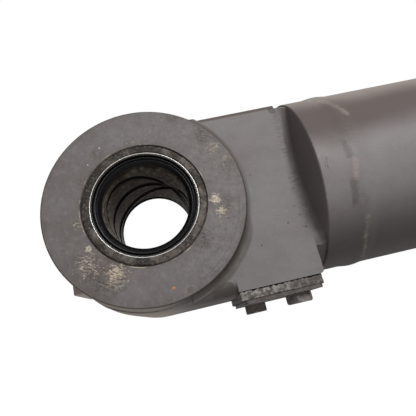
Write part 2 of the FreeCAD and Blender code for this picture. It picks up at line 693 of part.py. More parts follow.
def rod_eye_forging():
    wide = ROD_BOSS_Y + 1
    extras = [
        shifted(disc(ROD_BOSS_Y, ROD_BOSS_R, ROD_BOSS_CHAMFER), CLOSED_LENGTH),
        rod(V(CLOSED_LENGTH, 0, 0), Z_AXIS, NIPPLE_BOSS_R, ROD_EYE_R + NIPPLE_BOSS_RISE),
        rod(V(BLEED_X, 0, 0), Z_AXIS, BLEED_BOSS_R, PLUNGER_R + BLEED_BOSS_RISE),
    ]
    cuts = [
        rod(V(CLOSED_LENGTH, -wide, 0), Y_AXIS, ROD_BUSH_R + SEAT, 2 * wide),
        rod(V(CLOSED_LENGTH, 0, ROD_BUSH_R - 2), Z_AXIS, NIPPLE_HOLE_R + SEAT, ROD_EYE_R),
        rod(V(BLEED_X, 0, BLEED_HOLE_Z), Z_AXIS, BLEED_R + SEAT, PLUNGER_R),
        rod(V(PLUNGER_END_X - ROD_SPIGOT - 1, 0, BLEED_HOLE_Z), X_AXIS, BLEED_WAY_R,
            BLEED_X - PLUNGER_END_X + ROD_SPIGOT + 1),
    ]
    return rod_eye_block().fuse(extras).cut(cuts).removeSplitter()


def bleed_screw():
    """Small hexagon screw that closes the air bleed on top of the plunger's end."""
    screw = hex_bolt(BLEED_R, BLEED_FLATS, BLEED_HEAD, BLEED_LENGTH)
    screw.rotate(ORIGIN, X_AXIS, 180)
    return shifted(screw, BLEED_X, PLUNGER_R + BLEED_BOSS_RISE)


# Build ---------------------------------------------------------------------------------------

def base_end_nodes():
    bush_half = BOSS_Y - BUSH_SINK
    nipple = grease_nipple()
    nipple.rotate(ORIGIN, Y_AXIS, -90)
    nodes = {
        "base_end_forging": base_end_forging(),
        "base_eye_bush": eye_bush(BUSH_R, bush_half, SEAL_POCKET_R, SEAL_POCKET_DEPTH - BUSH_SINK),
        "base_grease_nipple": shifted(nipple, GREASE_X0 + GREASE_POCKET_DEPTH, GREASE_Z),
        "port_pad": port_pad(),
        "port_cover_o_ring": port_cover_o_ring(),
        "port_cover_plate": port_cover_plate(),
        "port_cover_bolts": port_cover_bolts(),
        "base_weld_bead": weld_bead(WELD_X, BARREL_R, BARREL_BORE_R),
    }
    for side, word in SIDES:
        nodes[f"base_seal_case_{word}"] = seal_case(side, bush_half, SEAL_POCKET_R)
        nodes[f"base_seal_lip_{word}"] = seal_lip(side, bush_half, SEAL_POCKET_R)
    return nodes


def sleeve_nodes(name, foot_x, end_x, sizes, guide_bore_r, next_r):
    outer_r, bore_r = sizes
    nodes = {
        f"{name}_tube": sleeve_tube(foot_x, end_x, outer_r, bore_r),
        f"{name}_foot": foot_ring(foot_x, outer_r, guide_bore_r, bore_r - LIP_OVERLAP),
        f"{name}_foot_band": foot_band(foot_x, guide_bore_r),
        f"{name}_stop_ring": stop_ring(foot_x, outer_r, guide_bore_r),
    }
    nodes.update(head_nodes(f"{name}_head", end_x, SLEEVE_FLANGE, sizes, next_r))
    return nodes


def plunger_nodes():
    return {
        "plunger_tube": plunger_tube(),
        "plunger_foot": foot_ring(PLUNGER_FOOT_X, PLUNGER_R, SLEEVE_2_BORE_R, 0),
        "plunger_foot_band": foot_band(PLUNGER_FOOT_X, SLEEVE_2_BORE_R),
        "plunger_stop_ring": stop_ring(PLUNGER_FOOT_X, PLUNGER_R, SLEEVE_2_BORE_R),
        "plunger_weld_bead": weld_bead(PLUNGER_END_X, PLUNGER_R, PLUNGER_BORE_R),
    }


def rod_eye_nodes():
    bush = eye_bush(ROD_BUSH_R, ROD_BOSS_Y, ROD_SEAL_POCKET_R, ROD_SEAL_POCKET_DEPTH)
    nodes = {
        "rod_eye_forging": rod_eye_forging(),
        "rod_eye_bush": shifted(bush, CLOSED_LENGTH),
        "rod_grease_nipple": shifted(grease_nipple(), CLOSED_LENGTH, ROD_EYE_R + NIPPLE_BOSS_RISE),
        "bleed_screw": bleed_screw(),
    }
    for side, word in SIDES:
        case = seal_case(side, ROD_BOSS_Y, ROD_SEAL_POCKET_R)
        lip = seal_lip(side, ROD_BOSS_Y, ROD_SEAL_POCKET_R)
        nodes[f"rod_seal_case_{word}"] = shifted(case, CLOSED_LENGTH)
        nodes[f"rod_seal_lip_{word}"] = shifted(lip, CLOSED_LENGTH)
    return nodes


barrel = (BARREL_R, BARREL_BORE_R)
sleeve_1 = (SLEEVE_1_R, SLEEVE_1_BORE_R)
sleeve_2 = (SLEEVE_2_R, SLEEVE_2_BORE_R)
pieces = {"barrel_tube": barrel_tube()}
pieces.update(base_end_nodes())
pieces.update(head_nodes("barrel_head", BARREL_END_X, BARREL_FLANGE, barrel, SLEEVE_1_R))
for name, foot_x, end_x, sizes, guide_r, next_r in (
    ("sleeve_1", SLEEVE_1_FOOT_X, SLEEVE_1_END_X, sleeve_1, BARREL_BORE_R, SLEEVE_2_R),
    ("sleeve_2", SLEEVE_2_FOOT_X, SLEEVE_2_END_X, sleeve_2, SLEEVE_1_BORE_R, PLUNGER_R),
):
    pieces.update(sleeve_nodes(name, foot_x, end_x, sizes, guide_r, next_r))
pieces.update(plunger_nodes())
pieces.update(rod_eye_nodes())

os.makedirs("parts", exist_ok=True)
for node_name, solid in pieces.items():
    save(node_name, solid)
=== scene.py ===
import json
import math

import bmesh
import bpy
import numpy as np
from mathutils import Matrix, Vector

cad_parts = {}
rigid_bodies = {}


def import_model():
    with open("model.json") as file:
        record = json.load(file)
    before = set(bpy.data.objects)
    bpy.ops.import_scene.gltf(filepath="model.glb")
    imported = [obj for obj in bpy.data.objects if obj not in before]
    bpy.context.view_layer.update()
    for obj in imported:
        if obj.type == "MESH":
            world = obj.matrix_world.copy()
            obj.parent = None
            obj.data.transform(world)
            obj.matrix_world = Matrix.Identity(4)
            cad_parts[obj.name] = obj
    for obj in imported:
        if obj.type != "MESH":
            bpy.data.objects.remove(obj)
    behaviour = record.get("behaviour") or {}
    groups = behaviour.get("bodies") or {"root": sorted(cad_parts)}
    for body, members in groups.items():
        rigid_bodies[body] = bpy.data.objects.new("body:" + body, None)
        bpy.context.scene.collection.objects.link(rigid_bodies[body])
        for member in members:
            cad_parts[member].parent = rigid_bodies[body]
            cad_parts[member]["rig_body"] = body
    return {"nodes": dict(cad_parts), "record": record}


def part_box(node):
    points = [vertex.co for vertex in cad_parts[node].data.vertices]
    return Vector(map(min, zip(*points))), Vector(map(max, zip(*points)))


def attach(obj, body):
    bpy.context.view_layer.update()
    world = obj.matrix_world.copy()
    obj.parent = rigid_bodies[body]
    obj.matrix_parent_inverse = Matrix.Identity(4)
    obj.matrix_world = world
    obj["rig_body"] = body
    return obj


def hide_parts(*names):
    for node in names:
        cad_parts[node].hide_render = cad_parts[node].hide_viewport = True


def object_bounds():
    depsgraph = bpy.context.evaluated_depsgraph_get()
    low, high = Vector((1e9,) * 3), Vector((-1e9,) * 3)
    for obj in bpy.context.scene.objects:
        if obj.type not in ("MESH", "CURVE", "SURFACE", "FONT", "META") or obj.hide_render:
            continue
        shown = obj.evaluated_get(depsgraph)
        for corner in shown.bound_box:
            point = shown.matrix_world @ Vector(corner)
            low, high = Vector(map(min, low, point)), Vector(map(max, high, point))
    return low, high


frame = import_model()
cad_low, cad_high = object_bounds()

# Telescopic hydraulic cylinder. Everything is in metres, in the CAD's row frame: origin in the
# base eye's pin bore, +X along the cylinder, +Y along the pin, +Z up.

MM = 0.001

# Places read from the frame ----------------------------------------------------------------------

bush_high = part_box("base_eye_bush")[1]
case_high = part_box("base_seal_case_front")[1]
rod_bush_low, rod_bush_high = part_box("rod_eye_bush")
rod_case_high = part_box("rod_seal_case_front")[1]
tube_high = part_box("barrel_tube")[1]
pad_low, pad_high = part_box("port_pad")

BARREL_R = tube_high.z
PIN_R = 40.0 * MM
BASE_PIN = Vector((0, 0, 0))
ROD_PIN = Vector((rod_bush_low.x + rod_bush_high.x, 0, 0)) / 2
SEAL_FIT = 0.05 * MM                     # gap between a pin seal's case and its pocket
BASE_POCKET_R = case_high.x + SEAL_FIT   # bore that the base eye's pin seals sit in
ROD_POCKET_R = rod_case_high.x - ROD_PIN.x + SEAL_FIT
BUSH_R = bush_high.x                     # outside of the base bush
RING_R = 93.2 * MM                       # machined ring round the base bush
RING_Y = bush_high.y + 0.4 * MM          # half width over the rings
CHEEK_Y = -pad_low.y                     # half width over the flat cheeks
SHANK_TOP_Z = 77.5 * MM
SHANK_END_X = 143.0 * MM
CONE_X = 154.2 * MM                      # the collar's edge


# Camera and studio -------------------------------------------------------------------------------

CAMERA_PLACE = Vector((28.6, -392.7, -113.5)) * MM
CAMERA_AZIMUTH = math.radians(-4.55)
CAMERA_ELEVATION = math.radians(-16.06)
CAMERA_ROLL = math.radians(-13.46)
CAMERA_LENS, CAMERA_SENSOR = 33.34, 36.0
CLIP_START = 0.01
FLOOR_Z = -0.45
FLOOR_HALF = 8.0
FLOOR_SHADE = 0.9                        # its grey and its roughness
FLOOR_GLOW = (0.72, 1.0)                 # under the object, and where it meets the white backdrop
FLOOR_GLOW_REACH = (0.7, 1.3)            # how far from its middle the glow rises
WORLD_DIM, WORLD_LOW, WORLD_BRIGHT = 0.18, 0.46, 0.62
WORLD_BEHIND = (-0.10, 0.60)             # share of a direction's Y where the brightness rises
WORLD_ABOVE = (-0.25, 0.25)              # and of its Z
WORLD_UNDER = (-0.10, -0.60)
KEY_AZIMUTH, KEY_ELEVATION, KEY_DISTANCE = math.radians(17), math.radians(28), 2.2
KEY_SIZE, KEY_POWER = (0.7, 1.2), 40
BACK_PLACE = (0.8, 2.0, 1.3)
BACK_SIZE, BACK_POWER = (2.0, 1.2), 6
FILL_TINT = (1, 0.985, 0.97, 1)
WHITE = (1, 1, 1, 1)


def toward(azimuth, elevation):
    """Direction from the object to something at azimuth from -Y towards +X, and elevation."""
    return Vector((
        math.sin(azimuth) * math.cos(elevation),
        -math.cos(azimuth) * math.cos(elevation),
        math.sin(elevation),
    ))


def make_camera():
    data = bpy.data.cameras.new("camera")
    data.lens = CAMERA_LENS
    data.sensor_width = CAMERA_SENSOR
    data.clip_start = CLIP_START
    camera = bpy.data.objects.new("camera", data)
    bpy.context.collection.objects.link(camera)
    level = (-toward(CAMERA_AZIMUTH, CAMERA_ELEVATION)).to_track_quat("-Z", "Y")
    camera.rotation_mode = "QUATERNION"
    camera.rotation_quaternion = level @ Matrix.Rotation(CAMERA_ROLL, 3, "Z").to_quaternion()
    camera.location = CAMERA_PLACE
    bpy.context.scene.camera = camera


def make_area_light(name, place, aim, size, power):
    data = bpy.data.lights.new(name, "AREA")
    data.shape = "RECTANGLE"
    data.size, data.size_y = size
    data.energy = power
    light = bpy.data.objects.new(name, data)
    bpy.context.collection.objects.link(light)
    light.location = place
    light.rotation_mode = "QUATERNION"
    light.rotation_quaternion = (Vector(aim) - Vector(place)).to_track_quat("-Z", "Y")
    light.visible_camera = False


def link(tree, source, target):
    tree.links.new(source, target)


def ramp(tree, value, reach, ends=(0.0, 1.0)):
    """Smooth step between the two numbers in ends, as value goes through reach."""
    made = tree.nodes.new("ShaderNodeMapRange")
    made.interpolation_type = "SMOOTHSTEP"
    made.inputs["From Min"].default_value, made.inputs["From Max"].default_value = reach
    made.inputs["To Min"].default_value, made.inputs["To Max"].default_value = ends
    link(tree, value, made.inputs["Value"])
    return made.outputs[0]


def make_world():
    """White to the camera; as a light, dim in front, brighter below, brightest behind and above."""
    world = bpy.data.worlds.new("studio")
    bpy.context.scene.world = world
    world.use_nodes = True
    tree = world.node_tree
    tree.nodes.clear()
    direction = tree.nodes.new("ShaderNodeSeparateXYZ")
    link(tree, tree.nodes.new("ShaderNodeTexCoord").outputs["Generated"], direction.inputs[0])
    behind = ramp(tree, direction.outputs["Y"], WORLD_BEHIND)
    above = ramp(tree, direction.outputs["Z"], WORLD_ABOVE)
    both = tree.nodes.new("ShaderNodeMath")
    both.operation = "MULTIPLY"
    link(tree, behind, both.inputs[0])
    link(tree, above, both.inputs[1])
    below = ramp(tree, direction.outputs["Z"], WORLD_UNDER, (WORLD_DIM, WORLD_LOW))
    strength = tree.nodes.new("ShaderNodeMath")
    strength.operation = "MULTIPLY_ADD"
    link(tree, both.outputs[0], strength.inputs[0])
    strength.inputs[1].default_value = WORLD_BRIGHT - WORLD_DIM
    link(tree, below, strength.inputs[2])
    fill = tree.nodes.new("ShaderNodeBackground")
    fill.inputs["Color"].default_value = FILL_TINT
    link(tree, strength.outputs[0], fill.inputs["Strength"])
    backdrop = tree.nodes.new("ShaderNodeBackground")
    backdrop.inputs["Color"].default_value = WHITE
    choose = tree.nodes.new("ShaderNodeMixShader")
    link(tree, tree.nodes.new("ShaderNodeLightPath").outputs["Is Camera Ray"], choose.inputs[0])
    link(tree, fill.outputs[0], choose.inputs[1])
    link(tree, backdrop.outputs[0], choose.inputs[2])
    out = tree.nodes.new("ShaderNodeOutputWorld")
    link(tree, choose.outputs[0], out.inputs["Surface"])


def make_studio():
    middle = (cad_low + cad_high) / 2
    eye_end = Vector((CONE_X, 0, 0))
    key_place = eye_end + KEY_DISTANCE * toward(KEY_AZIMUTH, KEY_ELEVATION)
    make_area_light("key", key_place, eye_end, KEY_SIZE, KEY_POWER)
    make_area_light("back", BACK_PLACE, middle, BACK_SIZE, BACK_POWER)
    make_world()
    bpy.context.scene.view_settings.view_transform = "Standard"


def make_floor():
    mesh = bpy.data.meshes.new("floor")
    h = FLOOR_HALF
    mesh.from_pydata([(-h, -h, 0), (h, -h, 0), (h, h, 0), (-h, h, 0)], [], [(0, 1, 2, 3)])
    floor = bpy.data.objects.new("floor", mesh)
    bpy.context.collection.objects.link(floor)
    floor.location = (ROD_PIN.x / 2, 0, FLOOR_Z)
    material = bpy.data.materials.new("floor_white")
    material.use_nodes = True
    tree = material.node_tree
    bsdf = tree.nodes["Principled BSDF"]
    bsdf.inputs["Base Color"].default_value = (FLOOR_SHADE, FLOOR_SHADE, FLOOR_SHADE, 1)
    bsdf.inputs["Roughness"].default_value = FLOOR_SHADE
    bsdf.inputs["Emission Color"].default_value = WHITE
    away = tree.nodes.new("ShaderNodeVectorMath")
    away.operation = "LENGTH"
    link(tree, tree.nodes.new("ShaderNodeTexCoord").outputs["Object"], away.inputs[0])
    glow = ramp(tree, away.outputs["Value"], FLOOR_GLOW_REACH, FLOOR_GLOW)
    link(tree, glow, bsdf.inputs["Emission Strength"])
    mesh.materials.append(material)
    floor.visible_diffuse = False
    floor.visible_glossy = False


make_camera()
make_studio()
make_floor()


# Shader building ---------------------------------------------------------------------------------

class Shader:
    """One procedural material, built in the row frame's coordinates, in metres."""

    def __init__(self, name):
        self.material = bpy.data.materials.new(name)
        self.material.use_nodes = True
        self.tree = self.material.node_tree
        self.bsdf = self.tree.nodes["Principled BSDF"]
        self.place = self.tree.nodes.new("ShaderNodeTexCoord").outputs["Object"]
        self.parts = {}

    def node(self, kind, inputs=(), **settings):
        made = self.tree.nodes.new("ShaderNode" + kind)
        for key, value in settings.items():
            setattr(made, key, value)
        for index, value in enumerate(inputs):
            if value is not None:
                self.set(made.inputs[index], value)
        return made

    def set(self, socket, value):
        if isinstance(value, bpy.types.NodeSocket):
            self.tree.links.new(value, socket)
        elif socket.type == "RGBA" and len(value) == 3:
            socket.default_value = (*value, 1)
        else:
            socket.default_value = value

    def math(self, operation, a, b=None, c=None, clamp=False):
        return self.node("Math", (a, b, c), operation=operation, use_clamp=clamp).outputs[0]

    def add(self, a, b):
        return self.math("ADD", a, b)

    def mul(self, a, b):
        return self.math("MULTIPLY", a, b)

    def most(self, a, b):
        return self.math("MAXIMUM", a, b)

    def vector(self, operation, a, b=None):
        made = self.node("VectorMath", (a, b), operation=operation)
        number = operation in ("LENGTH", "DISTANCE", "DOT_PRODUCT")
        return made.outputs["Value" if number else "Vector"]

    def stretched(self, scale):
        return self.vector("MULTIPLY", self.place, scale)

    def noise(self, scale, detail, rough=0.55, place=None):
        """Noise with about scale lumps to a metre, from 0 to 1."""
        made = self.node("TexNoise")
        self.set(made.inputs["Vector"], place or self.place)
        self.set(made.inputs["Scale"], scale)
        self.set(made.inputs["Detail"], detail)
        self.set(made.inputs["Roughness"], rough)
        return made.outputs[0]

    def cells(self, scale):
        """Distance from scattered points, about scale of them to a metre."""
        made = self.node("TexVoronoi")
        self.set(made.inputs["Vector"], self.place)
        self.set(made.inputs["Scale"], scale)
        return made.outputs["Distance"]

    def turning(self, radius, scale, detail, rough):
        """Noise that changes with radius only, as a lathe leaves a face."""
        place = self.node("CombineXYZ", (self.mul(radius, scale), 0, 0)).outputs[0]
        return self.noise(1.0, detail, rough, place)

    def step(self, value, low, high, out_low=0.0, out_high=1.0):
        """Smooth step of value from low to high."""
        limits = (value, low, high, out_low, out_high)
        return self.node("MapRange", limits, interpolation_type="SMOOTHSTEP").outputs[0]

    def between(self, value, low, high, soft):
        """1 from low to high, fading to 0 over soft on each side."""
        return self.mul(self.step(value, low - soft, low), self.step(value, high + soft, high))

    def mix(self, amount, a, b):
        """Colour between a and b."""
        made = self.node("Mix", data_type="RGBA")
        self.set(made.inputs["Factor"], amount)
        self.set(made.inputs[6], a)
        self.set(made.inputs[7], b)
        return made.outputs[2]

    def blend(self, amount, a, b):
        """Number between a and b."""
        made = self.node("Mix", data_type="FLOAT")
        self.set(made.inputs[0], amount)
        self.set(made.inputs[2], a)
        self.set(made.inputs[3], b)
        return made.outputs[0]

    def axis(self, which):
        if "place" not in self.parts:
            self.parts["place"] = self.node("SeparateXYZ", (self.place,))
        return self.parts["place"].outputs["XYZ".index(which)]

    def upward(self):
        """Upward part of the surface's own normal at rest, from -1 to 1."""
        if "normal" not in self.parts:
            normal = self.place.node.outputs["Normal"]
            self.parts["normal"] = self.node("SeparateXYZ", (normal,))
        return self.parts["normal"].outputs["Z"]

    def radius_about_pin(self, centre=BASE_PIN):
        """Distance from the line along Y through centre."""
        offset = self.vector("SUBTRACT", self.place, centre)
        return self.vector("LENGTH", self.vector("MULTIPLY", offset, (1, 0, 1)))

    def spot(self, centre, radius, ragged, scale, squeeze=(1, 1, 1)):
        """1 near centre, falling to 0 at a ragged edge at about that radius."""
        offset = self.vector("MULTIPLY", self.vector("SUBTRACT", self.place, centre), squeeze)
        away = self.vector("LENGTH", offset)
        torn = self.noise(scale, 6.0, 0.7)
        swing = 2 * radius * ragged
        reach = self.math("MULTIPLY_ADD", torn, -2 * swing, radius + swing)
        return self.step(self.math("DIVIDE", away, reach), 1.0, 0.8)

    def shine(self, value):
        self.set(self.bsdf.inputs["Specular IOR Level"], value)

    def finish(self, colour, roughness, metallic, height, depth):
        """The finished material. Its bumps are height times depth, in metres."""
        self.set(self.bsdf.inputs["Base Color"], colour)
        self.set(self.bsdf.inputs["Roughness"], roughness)
        self.set(self.bsdf.inputs["Metallic"], metallic)
        bump = self.node("Bump")
        bump.inputs["Distance"].default_value = depth
        self.set(bump.inputs["Height"], height)
        self.tree.links.new(bump.outputs[0], self.bsdf.inputs["Normal"])
        return self.material


# Turned pieces -----------------------------------------------------------------------------------

ARC_STEPS = 5
SHARP_EDGE = math.radians(38)


def rounded(corners):
    """Closed outline of (along, radius) points, from corners given as (along, radius, bend), where
    bend is the corner's own rounding."""
    made = []
    for index, (along, radius, bend) in enumerate(corners):
        here = Vector((along, radius))
        if bend == 0:
            made.append(here)
            continue
        before = (Vector(corners[index - 1][:2]) - here).normalized()
        after = (Vector(corners[(index + 1) % len(corners)][:2]) - here).normalized()
        half = before.angle(after) / 2
        middle = here + (before + after).normalized() * bend / math.sin(half)
        first = here + before * bend / math.tan(half) - middle
        last = here + after * bend / math.tan(half) - middle
        for step in range(ARC_STEPS + 1):
            made.append(middle + first.lerp(last, step / ARC_STEPS).normalized() * bend)
    return made


def turned_piece(name, outline, axis, centre, segments, reshape=None):
    """Ring turned from a closed outline of (along, radius) points about the X or Y axis through
    centre. Angles run from +X to +Z about Y, and from -Y to +Z about X."""
    points = np.array([tuple(point) for point in outline])
    angle = np.linspace(0, 2 * np.pi, segments, endpoint=False)
    along = np.repeat(points[:, :1], segments, axis=1)
    radius = np.repeat(points[:, 1:], segments, axis=1)
    if reshape:
        radius = reshape(along, radius, np.broadcast_to(angle, radius.shape))
    across, up = radius * np.cos(angle), radius * np.sin(angle)
    places = np.stack((across, along, up) if axis == "Y" else (along, -across, up), axis=-1)
    places = places.reshape(-1, 3) + np.array(centre)
    rows = len(points)
    faces = [
        (row * segments + turn, row * segments + (turn + 1) % segments,
         (row + 1) % rows * segments + (turn + 1) % segments, (row + 1) % rows * segments + turn)
        for row in range(rows) for turn in range(segments)
    ]
    mesh = bpy.data.meshes.new(name)
    mesh.from_pydata(places.tolist(), [], faces)
    shell = bmesh.new()
    shell.from_mesh(mesh)
    bmesh.ops.recalc_face_normals(shell, faces=shell.faces)
    shell.to_mesh(mesh)
    shell.free()
    mesh.shade_smooth()
    mesh.set_sharp_from_angle(angle=SHARP_EDGE)
    piece = bpy.data.objects.new(name, mesh)
    bpy.context.collection.objects.link(piece)
    return piece


def stand_in(piece, node, material):
    """piece is shown in place of a CAD node, on its body, in its material slot."""
    piece.data.materials.append(material)
    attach(piece, frame["nodes"][node]["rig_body"])
    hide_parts(node)


# Bearing bushes ----------------------------------------------------------------------------------

GROOVE_TURN = math.radians(140)          # where the slanted oil grooves swing furthest
GROOVE_SWINGS = (0.0, -34 * MM, 36 * MM)  # how far each one swings along the pin, to either side
GROOVE_HALF, GROOVE_DEPTH = 4.4 * MM, 2.2 * MM
BORE_ROW = 0.8 * MM                      # spacing of the bore's rows of vertices
BORE_PLAIN = 1.5 * MM                    # between the bore's first row and its mouth
MOUTH_ROUND, END_ROUND, POCKET_ROUND = 0.8 * MM, 2.6 * MM, 1.3 * MM
BUSH_SEGMENTS = 360


def grooved(along, radius, angle):
    """Oil grooves cut into the bore."""
    bore = radius < PIN_R + 0.01 * MM
    for swing in GROOVE_SWINGS:
        away = (along - swing * np.cos(angle - GROOVE_TURN)) / GROOVE_HALF
        cut = GROOVE_DEPTH * np.sqrt(np.clip(1 - away ** 2, 0, 1))
        radius = np.where(bore, np.maximum(radius, PIN_R + cut), radius)
    return radius


def bush(name, node, centre, pocket_r, pocket_depth, material, reshape):
    """Bush with a pocket for a seal in each end of its bore."""
    low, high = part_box(node)
    half, outer = high.y, (high.z - low.z) / 2
    mouth = half - pocket_depth
    rows = int(2 * mouth / BORE_ROW)
    bore = np.linspace(mouth - BORE_PLAIN, BORE_PLAIN - mouth, rows)
    outline = rounded([
        (-mouth, pocket_r, 0),
        (-half, pocket_r, POCKET_ROUND),
        (-half, outer, END_ROUND),
        (half, outer, END_ROUND),
        (half, pocket_r, POCKET_ROUND),
        (mouth, pocket_r, 0),
        (mouth, PIN_R, MOUTH_ROUND),
        *((y, PIN_R, 0) for y in bore),
        (-mouth, PIN_R, MOUTH_ROUND),
    ])
    stand_in(turned_piece(name, outline, "Y", centre, BUSH_SEGMENTS, reshape), node, material)


# Pin seals ---------------------------------------------------------------------------------------

CASE_DEPTH = 9.0 * MM                    # from the case's rim to its back
CASE_HOLE_R = PIN_R + 3.6 * MM
CASE_GAP = 0.06 * MM                     # between the case and its pocket
CASE_WALL = 2.1 * MM                     # from the pocket to the case's inside
LIP_R = PIN_R + 0.25 * MM
SEAL_SEGMENTS = 256


def turned_seal(name, node, centre, side, rim, corners, material):
    """Ring whose corners are (depth behind the case's rim, radius, bend). side is -1 at the front."""
    outline = [(side * (rim - depth), radius) for depth, radius in rounded(corners)]
    stand_in(turned_piece(name, outline, "Y", centre, SEAL_SEGMENTS), node, material)


def rim_of(case):
    low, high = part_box(case)
    return max(abs(low.y), abs(high.y))


def seal_case(name, node, centre, side, pocket_r, material):
    """Pressed case with a rolled rim and a second, lower lip inside it."""
    corners = [
        (0, pocket_r - CASE_GAP, 0.45 * MM),
        (0, pocket_r - 1.05 * MM, 0.45 * MM),
        (0.75 * MM, pocket_r - 1.1 * MM, 0),
        (0.35 * MM, pocket_r - 1.2 * MM, 0.2 * MM),
        (0.35 * MM, pocket_r - CASE_WALL, 0.3 * MM),
        (CASE_DEPTH - MM, pocket_r - CASE_WALL, 0.4 * MM),
        (CASE_DEPTH - MM, CASE_HOLE_R, 0),
        (CASE_DEPTH, CASE_HOLE_R, 0),
        (CASE_DEPTH, pocket_r - CASE_GAP, 0.6 * MM),
    ]
    turned_seal(name, node, centre, side, rim_of(node), corners, material)


def seal_lip(name, node, centre, side, pocket_r, material):
    """Rubber of the seal: a gutter, a rounded ridge, and the wiping lip that leans in to the pin."""
    outer = pocket_r - CASE_WALL - 0.05 * MM
    width = outer - LIP_R
    back = CASE_DEPTH - 1.05 * MM
    corners = [
        (1.0 * MM, outer, 0),
        (1.0 * MM, outer - 0.05 * width, 0.15 * MM),
        (4.2 * MM, outer - 0.10 * width, 0.3 * MM),
        (4.4 * MM, outer - 0.20 * width, 0.3 * MM),
        (1.6 * MM, outer - 0.23 * width, 0.5 * MM),
        (2.0 * MM, outer - 0.42 * width, 0.6 * MM),
        (3.6 * MM, outer - 0.46 * width, 0.2 * MM),
        (3.2 * MM, outer - 0.60 * width, 0.3 * MM),
        (back - 0.6 * MM, LIP_R, 0.2 * MM),
        (back, LIP_R, 0),
        (back, outer, 0),
    ]
    turned_seal(name, node, centre, side, rim_of(node.replace("lip", "case")), corners, material)


# Weld beads --------------------------------------------------------------------------------------

WELD_CROWN = 1.3 * MM
WELD_ROOT_SHARE = 8 / 13                 # the bevels' half width as a share of the bead's
WELD_ROWS, WELD_SEGMENTS = 54, 720
WELD_SUNK = 0.1 * MM                     # how deep the bead's foot lies in the tube
WELD_PROUD = 0.03 * MM                   # and how far its edges stand out of it
RIPPLE_PITCH, RIPPLE_HEIGHT = 4.2 * MM, 0.012 * MM
RIPPLE_TRAIL = 9 * MM                    # how far a ripple trails at the bead's sides


def weld(name, node, wall, material):
    """Butt weld that blends into the tube on both sides, with faint overlapping ripples."""
    low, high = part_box(node)
    middle, half = (low.x + high.x) / 2, (high.x - low.x) / 2
    tube_r = high.z - WELD_CROWN
    root = WELD_ROOT_SHARE * half
    share = np.linspace(-1, 1, WELD_ROWS)
    crown = tube_r + WELD_PROUD + WELD_CROWN * np.cos(share * np.pi / 2) ** 2
    top = list(zip(middle + half * share, crown))
    sunk = tube_r - WELD_SUNK
    outline = top + [
        (middle + half, sunk), (middle + root, sunk), (middle + MM, tube_r - wall),
        (middle - MM, tube_r - wall), (middle - root, sunk), (middle - half, sunk),
    ]

    def rippled(along, radius, angle):
        share = np.clip((along - middle) / half, -1, 1)
        wander = 1.6 * MM * np.sin(5 * angle + 1.0) + 0.9 * MM * np.sin(13 * angle)
        arc = angle * tube_r + RIPPLE_TRAIL * share ** 2 + wander
        turns = round(2 * np.pi * tube_r / RIPPLE_PITCH)
        ripple = np.sin(arc / tube_r * turns) * (1 + 0.6 * np.sin(3 * angle + 0.4))
        uneven = 0.5 * RIPPLE_HEIGHT * np.sin(23 * angle + 6 * share) + RIPPLE_HEIGHT * ripple
        return np.where(radius > tube_r, radius + uneven * np.cos(share * np.pi / 2) ** 2, radius)

    piece = turned_piece(name, outline, "X", (0, 0, 0), WELD_SEGMENTS, rippled)
    stand_in(piece, node, material)


# Materials ---------------------------------------------------------------------------------------

def scaled(colour, by):
    return tuple(channel * by for channel in colour)


GREY = (0.194, 0.177, 0.181)
GREY_WARM = (0.180, 0.161, 0.158)
# near black for soot, specks, chips and joints, and for the painted shade line at the ring's edge
SOOT_AND_SHADE_BLACK = (0.035, 0.030, 0.026)
CHALK = (0.330, 0.300, 0.262)
BARE_BEIGE = (0.50, 0.43, 0.33)
ORANGE_FLECK = (0.60, 0.20, 0.05)
ORANGE_FLECK_DARK = (0.50, 0.17, 0.03)
CREAM = (0.62, 0.58, 0.52)
# brown for grime, and for the painted shade under the tubes
GRIME_AND_SHADE_BROWN = (0.130, 0.107, 0.100)
DARK_GRIME = scaled(GRIME_AND_SHADE_BROWN, 0.55)
STROKE_GRIME = scaled(GRIME_AND_SHADE_BROWN, 0.6)
# cloudy grime, and the painted shade on the shoulder's cone
CLOUDY_GRIME_AND_SHADE = scaled(GRIME_AND_SHADE_BROWN, 0.8)
# dust on the tops of the collar and barrel; its light tone is partly a painted sheen
DUST_AND_SHEEN_TONE = (0.310, 0.272, 0.246)
BARREL_DUST_AND_SHEEN = (0.350, 0.308, 0.278)
FORGING_DUST = (0.190, 0.164, 0.150)
WELD_DUST_TINT = (0.42, 0.37, 0.32)
WELD_PRIMER = (0.37, 0.29, 0.275)
TUBE_SHEEN = 1.26                      # painted sheen: how much lighter the coat is made on a tube


def paint_coat(s):
    """Dark grey satin paint, mottled, with dust, rub marks and chips. Gives its colour, and how
    rubbed it is from 0 to 1."""
    cloud = s.step(s.noise(8.0, 6.0, 0.62), 0.38, 0.66)
    colour = s.mix(cloud, GREY, GREY_WARM)
    blotch = s.step(s.noise(60.0, 6.0, 0.68), 0.40, 0.72)
    colour = s.mix(s.mul(blotch, 0.30), colour, scaled(GREY_WARM, 0.72))
    dust = s.step(s.noise(700.0, 3.0, 0.7), 0.50, 0.78)
    colour = s.mix(s.mul(dust, 0.25), colour, CHALK)
    scratch = s.step(s.noise(30.0, 7.0, 0.72, s.stretched((3.0, 3.0, 42.0))), 0.66, 0.74)
    rub = s.step(s.noise(21.0, 5.0, 0.65), 0.56, 0.72)
    colour = s.mix(s.mul(s.mul(scratch, rub), 0.5), colour, CHALK)
    speck = s.mul(s.step(s.cells(150.0), 0.17, 0.05), s.step(s.noise(34.0, 3.0), 0.60, 0.66))
    colour = s.mix(s.mul(speck, 0.8), colour, SOOT_AND_SHADE_BLACK)
    chip = s.mul(s.step(s.cells(95.0), 0.11, 0.05), s.step(s.noise(19.0, 3.0), 0.64, 0.70))
    colour = s.mix(s.mul(chip, 0.7), colour, BARE_BEIGE)
    return colour, s.most(rub, chip)


